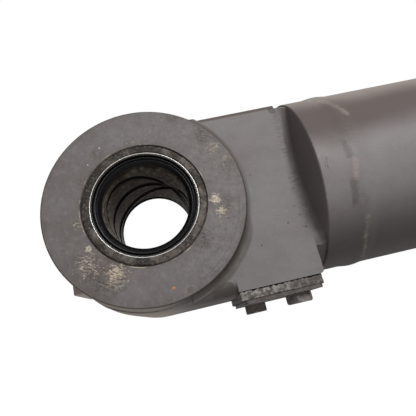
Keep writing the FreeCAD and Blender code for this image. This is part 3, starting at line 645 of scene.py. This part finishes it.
def paint_finish(s, colour, rub, dust, over=()):
    """Finish shared by all painted steel, with brown grime settled where it faces up, dust where it
    lies flat (on the barrel and collar light enough to be a painted sheen too), and the marks and
    tints in over on top of that."""
    edge = s.math("MULTIPLY_ADD", s.noise(14.0, 4.0, 0.6), 0.24, -0.12)
    upward = s.add(s.upward(), edge)
    grime = s.step(upward, -0.04, 0.34)
    dust_and_sheen_share = s.step(upward, 0.50, 0.82)
    # dust where it lies flat; on the barrel and collar it is also a painted sheen
    colour = s.mix(s.mul(grime, 0.88), colour, s.mix(dust_and_sheen_share, GRIME_AND_SHADE_BROWN, dust))
    for mark, tint in over:
        colour = s.mix(mark, colour, tint)
    grain = s.noise(520.0, 4.0, 0.65)
    peel = s.noise(95.0, 3.0, 0.5)
    roughness = s.add(s.math("MULTIPLY_ADD", grain, 0.14, 0.46), s.mul(rub, -0.05))
    roughness = s.blend(grime, roughness, 0.85)
    s.shine(s.blend(grime, 0.40, 0.16))
    height = s.add(s.mul(grain, 0.35), peel)
    return s.finish(colour, roughness, 0.0, height, 0.00022)


def tube_coat_sheen_and_shade(s, colour):
    """A coat of paint on a tube: lighter as a painted sheen, faintly streaked, with painted shade
    underneath.
    """
    # painted sheen: the whole coat made lighter
    light = s.vector("SCALE", colour)
    light.node.inputs["Scale"].default_value = TUBE_SHEEN
    streak = s.step(s.noise(24.0, 5.0, 0.6, s.stretched((0.15, 1.0, 1.0))), 0.46, 0.72)
    colour = s.mix(s.mul(streak, 0.14), light, CHALK)
    # painted shade on the underside
    under = s.step(s.upward(), -0.30, -0.92)
    return s.mix(s.mul(under, 0.90), colour, scaled(GRIME_AND_SHADE_BROWN, 0.40))


# Marks beside the barrel weld: from x and angle, to x and angle, width, colour, strength. x and
# width are in millimetres, and the angle in degrees above (or -, below) the barrel's front line.
WELD_MARKS = (
    ((185.6, -6.6), (182.4, -17.4), 3.4, WELD_PRIMER, 0.7),
    ((180.0, -19.0), (178.5, -30.0), 5.5, DARK_GRIME, 0.45),
    ((181.0, 3.0), (181.5, -4.0), 4.5, DARK_GRIME, 0.40),
    ((189.3, -39.6), (188.0, -53.0), 3.4, BARE_BEIGE, 0.20),
    ((188.0, -53.0), (190.3, -63.5), 3.2, BARE_BEIGE, 0.20),
    ((190.3, -63.5), (192.6, -74.0), 3.0, BARE_BEIGE, 0.20),
)
# Pale streak across the weld near its top: from x and angle, to x and angle, width
WELD_DUST = ((184.5, 44.0), (196.0, 24.0), 5.0)


def on_barrel(x, angle):
    """Point on the barrel's outside, from millimetres and degrees above its front line."""
    turn = math.radians(angle)
    return (x * MM, -BARREL_R * math.cos(turn), BARREL_R * math.sin(turn))


def line_mark(s, start, end, width, torn=0.8):
    """1 along the line from start to end, with ragged sides."""
    line = Vector(end) - Vector(start)
    offset = s.vector("SUBTRACT", s.place, start)
    along = s.vector("DOT_PRODUCT", offset, tuple(line))
    share = s.math("DIVIDE", along, line.length_squared, clamp=True)
    nearest = s.vector("SCALE", tuple(line))
    s.set(nearest.node.inputs["Scale"], share)
    away = s.vector("DISTANCE", offset, nearest)
    ragged = s.math("MULTIPLY_ADD", s.noise(420.0, 4.0, 0.7), 2 * torn * width, -torn * width)
    return s.step(s.add(away, ragged), width, 0.2 * width)


def barrel_paint(name):
    """Paint of the barrel and of its weld, which is smudged and rubbed through beside the root."""
    s = Shader(name)
    colour, rub = paint_coat(s)
    colour = tube_coat_sheen_and_shade(s, colour)
    beside = s.between(s.axis("X"), 0.172, 0.198, 0.006)
    smudge = s.step(s.noise(46.0, 5.0, 0.65), 0.50, 0.70)
    colour = s.mix(s.mul(s.mul(beside, smudge), 0.35), colour, CLOUDY_GRIME_AND_SHADE)
    for start, end, width, tint, strength in WELD_MARKS:
        mark = line_mark(s, on_barrel(*start), on_barrel(*end), width * MM, 1.1)
        colour = s.mix(s.mul(mark, strength), colour, tint)
    start, end, width = WELD_DUST
    band = line_mark(s, on_barrel(*start), on_barrel(*end), width * MM, 1.1)
    return paint_finish(s, colour, rub, BARREL_DUST_AND_SHEEN, ((s.mul(band, 0.36), WELD_DUST_TINT),))


def polar(radius, angle):
    """Point on the base eye's front ring, from millimetres and degrees above +X."""
    turn = math.radians(angle)
    return (radius * MM * math.cos(turn), -RING_Y, radius * MM * math.sin(turn))


RUB_LEAN = 0.5                           # how far the ring's flecks lean from upright
TURNING_MARK_R = 85.8 * MM               # faint turning mark near the ring's edge
# Worn and dirty patches of the front ring: radius, angle, reach, share that is chipped, colour
RING_WEAR = (
    (88.0, 38.0, 20.0, 0.13, SOOT_AND_SHADE_BLACK),
    (88.0, 62.0, 12.0, 0.05, SOOT_AND_SHADE_BLACK),
    (86.0, 12.0, 12.0, 0.07, SOOT_AND_SHADE_BLACK),
    (74.0, -128.0, 26.0, 0.08, SOOT_AND_SHADE_BLACK),
    (62.0, -45.0, 16.0, 0.12, SOOT_AND_SHADE_BLACK),
    (72.0, -14.0, 16.0, 0.10, SOOT_AND_SHADE_BLACK),
    (83.5, 29.0, 11.0, 0.14, (0.40, 0.34, 0.27)),
    (87.0, 18.0, 9.0, 0.13, (0.36, 0.30, 0.24)),
    (62.8, -150.6, 5.0, 0.22, (0.74, 0.66, 0.54)),
    (73.0, -142.0, 19.0, 0.13, (0.56, 0.48, 0.38)),
    (68.0, -121.0, 17.0, 0.17, (0.64, 0.53, 0.40)),
    (76.0, -117.0, 10.0, 0.15, CHALK),
    (64.5, -9.0, 9.0, 0.19, (0.70, 0.60, 0.47)),
    (70.0, -19.0, 9.0, 0.17, (0.60, 0.50, 0.38)),
    (61.5, -173.0, 7.0, 0.13, BARE_BEIGE),
    (60.5, 150.0, 5.0, 0.12, CHALK),
    (61.0, 95.0, 5.0, 0.12, CHALK),
    (67.0, 122.0, 8.0, 0.08, CHALK),
)
# Single marks on it: radius, angle, size, colour
RING_MARKS = (
    (80.7, -82.0, 1.3, ORANGE_FLECK),
    (70.0, 117.0, 0.8, CREAM),
    (65.6, 133.0, 0.7, CREAM),
    (61.8, 90.0, 0.9, CHALK),
    (88.0, -74.0, 3.0, GRIME_AND_SHADE_BROWN),
)
# Scratches on the same ring: from radius and angle, to radius and angle, width
RING_SCRATCHES = (
    ((80.0, -129.0), (80.5, -119.7), 0.6),
    ((81.0, 14.0), (83.4, 18.4), 0.6),
    ((58.6, 168.0), (59.0, 120.0), 0.7),
)
# Scratches on the front of the collar: from x and angle, to x and angle, width
COLLAR_SCRATCHES = (
    ((161.6, -2.4), (160.8, -8.8), 0.45),
    ((159.4, -5.0), (158.9, -8.0), 0.40),
)
# Marks on the front cheek: x, z, size, colour
CHEEK_MARKS = (
    (104.4, 20.6, 1.0, ORANGE_FLECK_DARK),
    (102.0, 7.5, 0.9, SOOT_AND_SHADE_BLACK),
    (95.0, -60.0, 1.0, SOOT_AND_SHADE_BLACK),
    (124.0, -45.0, 1.1, SOOT_AND_SHADE_BLACK),
    (138.0, -14.0, 1.0, SOOT_AND_SHADE_BLACK),
    (134.0, -31.0, 0.9, SOOT_AND_SHADE_BLACK),
    (139.0, -52.0, 1.3, SOOT_AND_SHADE_BLACK),
)


def rubbed_grain(s):
    """Flecks drawn out across the ring's face, the way it was rubbed."""
    across = s.vector("DOT_PRODUCT", s.place, (RUB_LEAN, 0, 1.0))
    along = s.vector("DOT_PRODUCT", s.place, (1.0, 0, -RUB_LEAN))
    place = s.node("CombineXYZ", (s.mul(across, 1.5), 0, s.mul(along, 0.62))).outputs[0]
    coarse, fine = s.noise(300.0, 2.0, 0.5, place), s.noise(760.0, 3.0, 0.6, place)
    return s.add(s.mul(coarse, 0.5), s.mul(fine, 0.5))


def chipped(s, grain, centre, reach, bare):
    """Ragged chips, dense near centre and gone at reach. Gives the chips and the dirt round them."""
    near = s.step(s.vector("DISTANCE", s.place, centre), reach, 0.15 * reach)
    chips = s.step(s.math("MULTIPLY_ADD", near, bare, grain), 0.60, 0.68)
    return s.mul(chips, s.step(near, 0.0, 0.3)), near


RING_DIRT = (0.122, 0.102, 0.096)
# painted shade, mixed with caked dirt, in the hollow at the ring's foot
HOLLOW_SHADE_AND_DIRT = (0.070, 0.058, 0.046)
CHIP_STAIN = (0.088, 0.068, 0.056)
EDGE_DIRT = (0.085, 0.070, 0.058)
CORNER_DIRT = (0.052, 0.054, 0.040)
# painted shade in the crevice below the ring
CREVICE_SHADE = (0.060, 0.050, 0.042)
# paler paint under the eye, partly painted light from below
UNDERSIDE_PALE_AND_BOUNCE_LIGHT = (0.52, 0.465, 0.405)
# painted shade, with grime, under the shank
UNDERSIDE_SHADE_AND_GRIME = (0.075, 0.062, 0.052)
LOWER_RIGHT = (0.64, 0, -0.77)           # way from the pin to the widest part of the hollow
SHANK_CORNER = (0.141, -CHEEK_Y, 0.070)
CREVICE = (0.054, -CHEEK_Y, -0.0925)     # painted shade lies here, between the ring's foot and the pad


def ring_face(s, colour, radius, on_ring, mottle):
    """Stains, pits and turning lines of the machined ring."""
    stain = s.step(s.noise(38.0, 6.0, 0.7), 0.35, 0.62)
    outer = s.step(radius, RING_R - 9 * MM, RING_R - MM)
    inner = s.step(radius, BUSH_R + 6 * MM, BUSH_R + MM)
    dirt = s.add(s.math("MULTIPLY_ADD", stain, 0.36, 0.12), s.mul(s.most(outer, inner), 0.30))
    colour = s.mix(s.mul(on_ring, dirt), colour, RING_DIRT)
    to_right = s.step(s.axis("X"), -0.02, 0.06, 0.45, 1.0)
    specks = s.mul(s.mul(on_ring, to_right), s.step(mottle, 0.50, 0.62))
    colour = s.mix(s.mul(specks, 0.42), colour, DARK_GRIME)
    colour = s.mix(s.mul(s.mul(on_ring, s.step(mottle, 0.47, 0.38)), 0.20), colour, CHALK)
    pits = s.step(s.noise(430.0, 3.0, 0.6), 0.62, 0.70)
    colour = s.mix(s.mul(s.mul(on_ring, s.mul(pits, to_right)), 0.55), colour, SOOT_AND_SHADE_BLACK)
    lines = s.step(s.turning(radius, 1500.0, 2.0, 0.5), 0.5, 0.7)
    return s.mix(s.mul(s.mul(on_ring, lines), 0.10), colour, CHALK)


def ring_foot(s, colour, radius, depth):
    """Painted shade and caked dirt in the hollow where the ring rises from the cheek, widest at the
    lower right.
    """
    lower_right = s.vector("DOT_PRODUCT", s.place, tuple(part / RING_R for part in LOWER_RIGHT))
    spread = s.step(lower_right, 0.80, 1.06)
    beyond = s.math("MULTIPLY_ADD", spread, -7 * MM, radius)
    hollow = s.mul(s.between(beyond, RING_R - 9 * MM, RING_R + 0.6 * MM, 2.6 * MM),
                   s.between(depth, CHEEK_Y - MM, RING_Y - 2.4 * MM, 0.8 * MM))
    to_right = s.step(s.axis("X"), -0.01, 0.03)
    hollow = s.mul(hollow, s.mul(to_right, s.blend(spread, 0.35, 1.0)))
    caked = s.step(s.noise(75.0, 5.0, 0.6), 0.30, 0.60)
    # painted shade over the hollow, made patchy by caked dirt
    return s.mix(s.mul(hollow, s.math("MULTIPLY_ADD", caked, 0.30, 0.55)), colour, HOLLOW_SHADE_AND_DIRT)


def ring_lines(s, colour, radius, on_ring):
    """Bare and black lines round the bush, and a turning mark near the ring's outer edge."""
    worn = s.mul(s.between(radius, BUSH_R, BUSH_R + 1.1 * MM, 0.5 * MM), on_ring)
    patchy = s.step(s.noise(48.0, 4.0, 0.7), 0.50, 0.60)
    colour = s.mix(s.mul(s.mul(worn, patchy), 0.75), colour, BARE_BEIGE)
    parting = s.mul(s.between(radius, BUSH_R - MM, BUSH_R + 0.35 * MM, 0.25 * MM), on_ring)
    colour = s.mix(s.mul(parting, 0.9), colour, SOOT_AND_SHADE_BLACK)
    arc = s.between(radius, TURNING_MARK_R, TURNING_MARK_R + 0.3 * MM, 0.5 * MM)
    lower_right = s.mul(s.step(s.axis("X"), 0.030, 0.055), s.step(s.axis("Z"), 0.002, -0.020))
    arc = s.mul(s.mul(arc, on_ring), lower_right)
    return s.mix(s.mul(arc, 0.30), colour, SOOT_AND_SHADE_BLACK)


def front_marks(s, colour, mottle):
    """The wear, marks and scratches listed above, on the front ring and cheek."""
    grain = rubbed_grain(s)
    tone = s.step(s.noise(520.0, 3.0, 0.6), 0.40, 0.60, 0.35, 0.90)
    for wear_r, wear_angle, reach, bare, tint in RING_WEAR:
        chips, dirty = chipped(s, grain, polar(wear_r, wear_angle), reach * MM, bare)
        stained = s.mul(dirty, s.step(mottle, 0.42, 0.54, 0.17, 0.55))
        colour = s.mix(stained, colour, CHIP_STAIN)
        colour = s.mix(s.mul(chips, tone), colour, tint)
    for mark_r, mark_angle, size, tint in RING_MARKS:
        mark = s.spot(polar(mark_r, mark_angle), size * MM, 0.5, 420.0)
        colour = s.mix(mark, colour, tint)
    for start, end, width in RING_SCRATCHES:
        mark = line_mark(s, polar(*start), polar(*end), width * MM)
        colour = s.mix(s.mul(mark, 0.3), colour, BARE_BEIGE)
    for mark_x, mark_z, size, tint in CHEEK_MARKS:
        mark = s.spot((mark_x * MM, -CHEEK_Y, mark_z * MM), size * MM, 0.45, 500.0)
        colour = s.mix(s.mul(mark, 0.65), colour, tint)
    return colour


def collar_marks(s, colour, depth):
    """Brush strokes before the shoulder, its shade, the collar's scratches and the end face."""
    x = s.axis("X")
    before_collar = s.step(x, CONE_X, CONE_X - MM)
    brushed = s.noise(230.0, 5.0, 0.75, s.stretched((0.5, 1.0, 2.0)))
    near_shoulder = s.step(x, 0.130, 0.146)
    strokes = s.step(s.math("MULTIPLY_ADD", near_shoulder, 0.22, brushed), 0.60, 0.72)
    strokes = s.mul(strokes, s.step(depth, CHEEK_Y + 4 * MM, CHEEK_Y + 0.5 * MM))
    strokes = s.mul(strokes, s.step(s.noise(34.0, 3.0, 0.6), 0.40, 0.58, 0.2, 1.0))
    colour = s.mix(s.mul(strokes, 0.55), colour, STROKE_GRIME)
    on_cone = s.mul(s.step(depth, CHEEK_Y + 0.3 * MM, CHEEK_Y + 4 * MM), before_collar)
    # painted shade on the shoulder's cone
    colour = s.mix(s.mul(s.mul(on_cone, s.step(x, 0.136, 0.142)), 0.5), colour, CLOUDY_GRIME_AND_SHADE)
    for start, end, width in COLLAR_SCRATCHES:
        mark = line_mark(s, on_barrel(*start), on_barrel(*end), width * MM, 0.6)
        colour = s.mix(s.mul(mark, 0.8), colour, SOOT_AND_SHADE_BLACK)
    end_face = s.step(x, SHANK_END_X - 0.4 * MM, SHANK_END_X)
    end_face = s.mul(s.mul(end_face, s.step(s.axis("Z"), -0.060, -0.068)), before_collar)
    return s.mix(s.mul(end_face, 0.75), colour, STROKE_GRIME)


def shank_edges(s, colour, depth):
    """Dirt along the shank's top edge and in the corner it makes with the shoulder."""
    on_shank = s.step(depth, CHEEK_Y + 0.6 * MM, CHEEK_Y + 0.1 * MM)
    top_edge = s.step(s.axis("Z"), SHANK_TOP_Z - 4.2 * MM, SHANK_TOP_Z - 2.6 * MM)
    top_edge = s.mul(top_edge, s.between(s.axis("X"), 0.07, 0.146, 0.003))
    colour = s.mix(s.mul(s.mul(top_edge, on_shank), 0.7), colour, EDGE_DIRT)
    corner = s.spot(SHANK_CORNER, 4.5 * MM, 0.6, 260.0)
    return s.mix(s.mul(s.mul(corner, on_shank), 0.7), colour, CORNER_DIRT)


def underside(s, colour, radius):
    """Pale, scuffed paint under the eye, partly painted light from below, and on its grease block;
    painted shade with grime under the shank.
    """
    x = s.axis("X")
    down = s.step(s.upward(), -0.15, -0.45)
    scuffed = s.math("MULTIPLY_ADD", s.noise(42.0, 6.0, 0.7), 0.4, 0.70, clamp=True)
    block = s.mul(s.step(radius, RING_R + 0.3 * MM, RING_R + MM), s.step(x, -0.040, -0.050))
    pale = s.mul(s.mul(s.most(down, block), scuffed), s.step(x, 0.030, -0.020))
    # pale paint, partly painted light from below
    colour = s.mix(pale, colour, UNDERSIDE_PALE_AND_BOUNCE_LIGHT)
    under_shank = s.mul(s.step(x, 0.005, 0.045), s.step(x, SHANK_END_X, 0.10))
    # painted shade, with grime, on faces under the shank
    underside_shade = s.mul(s.mul(down, scuffed), under_shank)
    return s.mix(s.mul(underside_shade, 0.85), colour, UNDERSIDE_SHADE_AND_GRIME)


def forging_paint(name):
    """Paint of the base end forging, with its rings, painted shade and dirt in its hollows, and wear.
    """
    s = Shader(name)
    colour, rub = paint_coat(s)
    x = s.axis("X")
    depth = s.math("ABSOLUTE", s.axis("Y"))
    radius = s.radius_about_pin()
    mottle = s.noise(210.0, 7.0, 0.80)
    on_ring = s.mul(s.step(depth, RING_Y - 1.2 * MM, RING_Y - 0.5 * MM), s.step(x, 0.11, 0.10))
    colour = ring_face(s, colour, radius, on_ring, mottle)
    colour = ring_foot(s, colour, radius, depth)
    colour = ring_lines(s, colour, radius, on_ring)
    colour = front_marks(s, colour, mottle)
    colour = collar_marks(s, colour, depth)
    colour = shank_edges(s, colour, depth)
    colour = underside(s, colour, radius)

    # painted shade: a dark line along the ring's outer edge
    rim = s.mul(s.between(radius, RING_R - 1.0 * MM, RING_R + 0.4 * MM, 0.4 * MM),
                s.step(depth, RING_Y - 3.2 * MM, RING_Y - 2.4 * MM))
    colour = s.mix(s.mul(rim, 0.80), colour, SOOT_AND_SHADE_BLACK)
    # painted shade in the crevice between the ring's foot and the pad
    crevice = s.spot(CREVICE, 12 * MM, 0.5, 90.0, (1.0, 1.0, 1.5))
    colour = s.mix(s.mul(crevice, 0.65), colour, CREVICE_SHADE)
    collar = s.step(x, 0.148, 0.154)
    # the collar takes the tube's coat with its painted sheen and shade
    colour = s.mix(collar, colour, tube_coat_sheen_and_shade(s, colour))
    return paint_finish(s, colour, rub, s.mix(collar, FORGING_DUST, DUST_AND_SHEEN_TONE))


PAD_DARK, PAD_LIGHT = (0.090, 0.077, 0.069), (0.320, 0.297, 0.277)
PAD_FLAKE = (0.42, 0.385, 0.35)
JOINT_BLACK = scaled(SOOT_AND_SHADE_BLACK, 0.25)


def pad_paint(name):
    """Paint over a flame-cut edge: light, rough and mottled, with black joint lines."""
    s = Shader(name)
    z = s.axis("Z")
    mottle = s.step(s.noise(170.0, 4.0, 0.65), 0.40, 0.60)
    colour = s.mix(mottle, PAD_DARK, PAD_LIGHT)
    pits = s.step(s.noise(330.0, 3.0, 0.6), 0.54, 0.66)
    colour = s.mix(s.mul(pits, 0.6), colour, CLOUDY_GRIME_AND_SHADE)
    flake = s.step(s.noise(290.0, 3.0, 0.6), 0.60, 0.70)
    colour = s.mix(s.mul(flake, 0.5), colour, PAD_FLAKE)
    jagged = s.math("MULTIPLY_ADD", s.noise(260.0, 2.0, 0.5), 8.0 * MM, -4.0 * MM)
    joint = s.step(s.add(z, s.mul(jagged, 0.6)), pad_high.z - 1.4 * MM, pad_high.z - 0.9 * MM)
    seam = s.step(s.add(z, s.mul(jagged, 0.15)), pad_low.z + 0.9 * MM, pad_low.z + 0.4 * MM)
    colour = s.mix(s.mul(seam, 0.85), colour, SOOT_AND_SHADE_BLACK)
    colour = s.mix(s.mul(s.step(s.axis("X"), 0.090, 0.130), 0.62), colour, scaled(GRIME_AND_SHADE_BROWN, 0.7))
    colour = s.mix(joint, colour, JOINT_BLACK)
    roughness = s.math("MULTIPLY_ADD", mottle, 0.2, 0.52)
    s.shine(s.blend(joint, 0.25, 0.02))
    return s.finish(colour, roughness, 0.0, s.add(mottle, s.mul(pits, -0.6)), 0.0004)


def plate_paint(name, tint, dark, grain=160.0):
    """Handled paint on small steel parts: brown with grime, rubbed lighter in places."""
    s = Shader(name)
    cloud = s.step(s.noise(grain, 5.0, 0.7), 0.34, 0.68)
    colour = s.mix(cloud, tint, dark)
    rub = s.step(s.noise(grain * 0.6, 5.0, 0.6), 0.58, 0.72)
    colour = s.mix(s.mul(rub, 0.5), colour, scaled(tint, 1.7))
    fine = s.noise(900.0, 3.0, 0.6)
    roughness = s.math("MULTIPLY_ADD", fine, 0.2, 0.38)
    return s.finish(colour, roughness, 0.15, s.add(cloud, fine), 0.00015)


BUSH_FACE, BUSH_STAIN = (0.118, 0.100, 0.089), (0.030, 0.023, 0.019)
BUSH_LINE, BUSH_SPECK, BUSH_PIT = (0.20, 0.175, 0.15), (0.34, 0.29, 0.24), (0.018, 0.014, 0.012)
BORE_DULL, BORE_OILY = (0.120, 0.096, 0.074), (0.048, 0.037, 0.029)
BORE_TAN, BORE_BLACK = (0.33, 0.27, 0.20), (0.012, 0.010, 0.009)
GROOVE_EDGE, GROOVE_BLACK = (0.16, 0.14, 0.115), (0.006, 0.005, 0.005)


def grooved_paint(s, bore, centre):
    """Black oil grooves where grooved() cuts them, with rubbed edges."""
    lean = (math.cos(GROOVE_TURN) / PIN_R, 0, math.sin(GROOVE_TURN) / PIN_R)
    slant = s.vector("DOT_PRODUCT", s.vector("SUBTRACT", s.place, centre), lean)
    for swing in GROOVE_SWINGS:
        away = s.math("ABSOLUTE", s.math("SUBTRACT", s.axis("Y"), s.mul(slant, swing)))
        rubbed = s.between(away, GROOVE_HALF + 0.8 * MM, GROOVE_HALF + 2.0 * MM, 1.0 * MM)
        bore = s.mix(s.mul(rubbed, 0.35), bore, GROOVE_EDGE)
        groove = s.step(away, GROOVE_HALF + 0.5 * MM, GROOVE_HALF - 0.2 * MM)
        bore = s.mix(groove, bore, GROOVE_BLACK)
    return bore


def bush_steel(name, centre, grooves, tan_share, black_share):
    """Brown, oily bearing steel: dull turned ends and a dark bore, with or without oil grooves."""
    s = Shader(name)
    radius = s.radius_about_pin(centre)
    stain = s.step(s.noise(55.0, 6.0, 0.68), 0.42, 0.58)
    colour = s.mix(stain, BUSH_FACE, BUSH_STAIN)
    turning = s.turning(radius, 2200.0, 3.0, 0.6)
    colour = s.mix(s.mul(s.step(turning, 0.48, 0.66), 0.30), colour, BUSH_LINE)
    speck = s.step(s.noise(420.0, 3.0, 0.6), 0.56, 0.66)
    colour = s.mix(s.mul(speck, 0.5), colour, BUSH_SPECK)
    pit = s.step(s.noise(300.0, 4.0, 0.65), 0.50, 0.60)
    colour = s.mix(s.mul(pit, 0.6), colour, BUSH_PIT)

    in_bore = s.step(radius, PIN_R + 2.9 * MM, PIN_R + 2.5 * MM)
    oily = s.step(s.noise(60.0, 5.0, 0.6), 0.36, 0.66)
    bore = s.mix(oily, BORE_DULL, BORE_OILY)
    tan = s.noise(230.0, 5.0, 0.7, s.stretched((1.0, 0.5, 1.0)))
    to_right = s.step(s.axis("X"), centre.x + 0.012, centre.x + 0.036)
    tan = s.step(s.math("MULTIPLY_ADD", to_right, 0.07, tan), 0.53, 0.63)
    bore = s.mix(s.mul(tan, tan_share), bore, BORE_TAN)
    black = s.step(s.noise(110.0, 4.0, 0.7, s.stretched((1.0, 0.4, 1.0))), 0.56, 0.64)
    bore = s.mix(s.mul(black, black_share), bore, BORE_BLACK)
    if grooves:
        bore = grooved_paint(s, bore, centre)
    colour = s.mix(in_bore, colour, bore)
    roughness = s.blend(in_bore, s.math("MULTIPLY_ADD", stain, 0.16, 0.50), 0.62)
    s.shine(s.blend(in_bore, 0.3, 0.22))
    return s.finish(colour, roughness, 0.1, s.add(turning, s.mul(speck, 0.8)), 0.00010)


def turned_steel(name, tint):
    """Bare machined steel with turning lines across X and a thin oily stain."""
    s = Shader(name)
    turning = s.noise(1.0, 3.0, 0.6, s.stretched((2600.0, 60.0, 60.0)))
    stain = s.step(s.noise(30.0, 5.0, 0.6), 0.4, 0.7)
    colour = s.mix(stain, tint, scaled(tint, 0.62))
    colour = s.mix(s.mul(turning, 0.3), colour, scaled(tint, 1.3))
    roughness = s.math("MULTIPLY_ADD", turning, 0.2, 0.24)
    return s.finish(colour, roughness, 1.0, turning, 0.00006)


CHROME, CHROME_FILM, CHROME_MARK = (0.70, 0.71, 0.73), (0.52, 0.50, 0.46), (0.40, 0.39, 0.38)


def chrome(name):
    """Ground and polished hard chrome, with a thin film of oil and fine marks along the stroke."""
    s = Shader(name)
    film = s.step(s.noise(16.0, 5.0, 0.6, s.stretched((0.35, 1.0, 1.0))), 0.38, 0.70)
    colour = s.mix(film, CHROME, CHROME_FILM)
    marks = s.step(s.noise(60.0, 5.0, 0.7, s.stretched((0.06, 6.0, 6.0))), 0.60, 0.72)
    colour = s.mix(s.mul(marks, 0.25), colour, CHROME_MARK)
    grinding = s.noise(1.0, 2.0, 0.5, s.stretched((3200.0, 90.0, 90.0)))
    roughness = s.add(s.math("MULTIPLY_ADD", film, 0.10, 0.12), s.mul(marks, 0.10))
    return s.finish(colour, roughness, 1.0, grinding, 0.000012)


# painted highlight of the rolled rim, plain and tarnished, and the case's own dull colour
RIM_HIGHLIGHT, RIM_HIGHLIGHT_TARNISHED, CASE_DULL = (0.88, 0.86, 0.82), (0.72, 0.69, 0.63), (0.05, 0.047, 0.045)


def case_steel(name, centre, pocket_r):
    """Pressed steel: the rolled rim is polished and has a painted highlight all round; the rest is
    dull.
    """
    s = Shader(name)
    radius = s.radius_about_pin(centre)
    # painted highlight round the rolled rim
    bright = s.step(radius, pocket_r - 1.00 * MM, pocket_r - 0.80 * MM)
    tarnish = s.step(s.noise(90.0, 5.0, 0.65), 0.42, 0.68)
    colour = s.mix(bright, CASE_DULL, s.mix(tarnish, RIM_HIGHLIGHT, RIM_HIGHLIGHT_TARNISHED))
    fine = s.noise(900.0, 3.0, 0.6)
    roughness = s.math("MULTIPLY_ADD", fine, 0.14, 0.26)
    return s.finish(colour, roughness, 0.4, fine, 0.00004)


def fine_grained(name, tint, rough, metallic=0.0, shine=0.5):
    """Rubber, plastic or plated steel with fine grain in colour, roughness and height."""
    s = Shader(name)
    fine = s.noise(900.0, 4.0, 0.6)
    cloud = s.noise(75.0, 4.0, 0.6)
    colour = s.mix(s.mul(cloud, 0.5), tint, scaled(tint, 0.45))
    dust = s.step(s.noise(300.0, 4.0, 0.7), 0.60, 0.74)
    colour = s.mix(s.mul(dust, 0.10), colour, CHALK)
    roughness = s.math("MULTIPLY_ADD", cloud, 0.2, rough - 0.1)
    s.shine(shine)
    return s.finish(colour, roughness, metallic, fine, 0.00005)


forging = forging_paint("forging_paint")
base_bush = bush_steel("base_bush_steel", BASE_PIN, True, 0.55, 0.7)
rod_bush = bush_steel("rod_bush_steel", ROD_PIN, False, 0.25, 0.4)
base_case = case_steel("base_case_steel", BASE_PIN, BASE_POCKET_R)
rod_case = case_steel("rod_case_steel", ROD_PIN, ROD_POCKET_R)
rubber = fine_grained("seal_rubber", (0.005, 0.005, 0.006), 0.42, shine=0.28)
barrel_coat = barrel_paint("barrel_paint")

MATERIAL_OF_SLOT = {
    "painted_steel": barrel_coat,
    "painted_weld": barrel_coat,
    "rough_pad": pad_paint("pad_paint"),
    "cover_plate": plate_paint("cover_paint", (0.105, 0.088, 0.083), (0.060, 0.050, 0.045)),
    "bush_steel": base_bush,
    "seal_case": base_case,
    "seal_rubber": rubber,
    "wiper": fine_grained("wiper_polyurethane", (0.03, 0.06, 0.12), 0.45),
    "guide_band": fine_grained("guide_band_phenolic", (0.22, 0.12, 0.05), 0.6),
    "chrome_tube": chrome("hard_chrome"),
    "machined_steel": turned_steel("turned_steel", (0.42, 0.40, 0.38)),
    "black_oxide_steel": plate_paint("bolt_paint", (0.25, 0.222, 0.213), (0.11, 0.096, 0.090), 150.0),
    "zinc_steel": fine_grained("zinc_plate", (0.60, 0.56, 0.42), 0.35, 1.0),
}

for part in frame["record"]["subparts"]:
    node = frame["nodes"][part["node"]]
    for material_slot in node.material_slots:
        material_slot.material = MATERIAL_OF_SLOT[part["material_slot"]]
frame["nodes"]["base_end_forging"].material_slots[0].material = forging


# Pieces in place of CAD nodes --------------------------------------------------------------------

BASE_POCKET_DEPTH, ROD_POCKET_DEPTH = 15.0 * MM, 10.0 * MM
BARREL_WALL, PLUNGER_WALL = 8.0 * MM, 12.0 * MM
PIN_ENDS = (("base", BASE_PIN, BASE_POCKET_R, base_case), ("rod", ROD_PIN, ROD_POCKET_R, rod_case))

bush("base_bush", "base_eye_bush", BASE_PIN, BASE_POCKET_R, BASE_POCKET_DEPTH, base_bush, grooved)
bush("rod_bush", "rod_eye_bush", ROD_PIN, ROD_POCKET_R, ROD_POCKET_DEPTH, rod_bush, None)
for side, where in ((-1, "front"), (1, "rear")):
    for end, centre, pocket_r, steel in PIN_ENDS:
        case, lip = f"seal_case_{where}", f"seal_lip_{where}"
        seal_case(f"{end}_pin_{case}", f"{end}_{case}", centre, side, pocket_r, steel)
        seal_lip(f"{end}_pin_{lip}", f"{end}_{lip}", centre, side, pocket_r, rubber)
weld("base_weld", "base_weld_bead", BARREL_WALL, barrel_coat)
weld("plunger_weld", "plunger_weld_bead", PLUNGER_WALL, barrel_coat)


# Flame-cut pad -----------------------------------------------------------------------------------

PAD_MESH = 0.9 * MM
PAD_BUMPS = ((7 * MM, 0.9 * MM), (2.5 * MM, 0.5 * MM))   # size across and height


def roughened(node, voxel, bumps):
    """Rough surface on a CAD node: a fine even mesh, then one displacement for each pair in bumps."""
    remesh = node.modifiers.new("fine_mesh", "REMESH")
    remesh.mode = "VOXEL"
    remesh.voxel_size = voxel
    remesh.use_smooth_shade = True
    for index, (scale, height) in enumerate(bumps):
        texture = bpy.data.textures.new(f"{node.name}_rough_{index}", "CLOUDS")
        texture.noise_scale = scale
        texture.noise_depth = 2
        displace = node.modifiers.new(f"rough_{index}", "DISPLACE")
        displace.texture = texture
        displace.texture_coords = "LOCAL"
        displace.strength = height
        displace.mid_level = 0.5


roughened(frame["nodes"]["port_pad"], PAD_MESH, PAD_BUMPS)
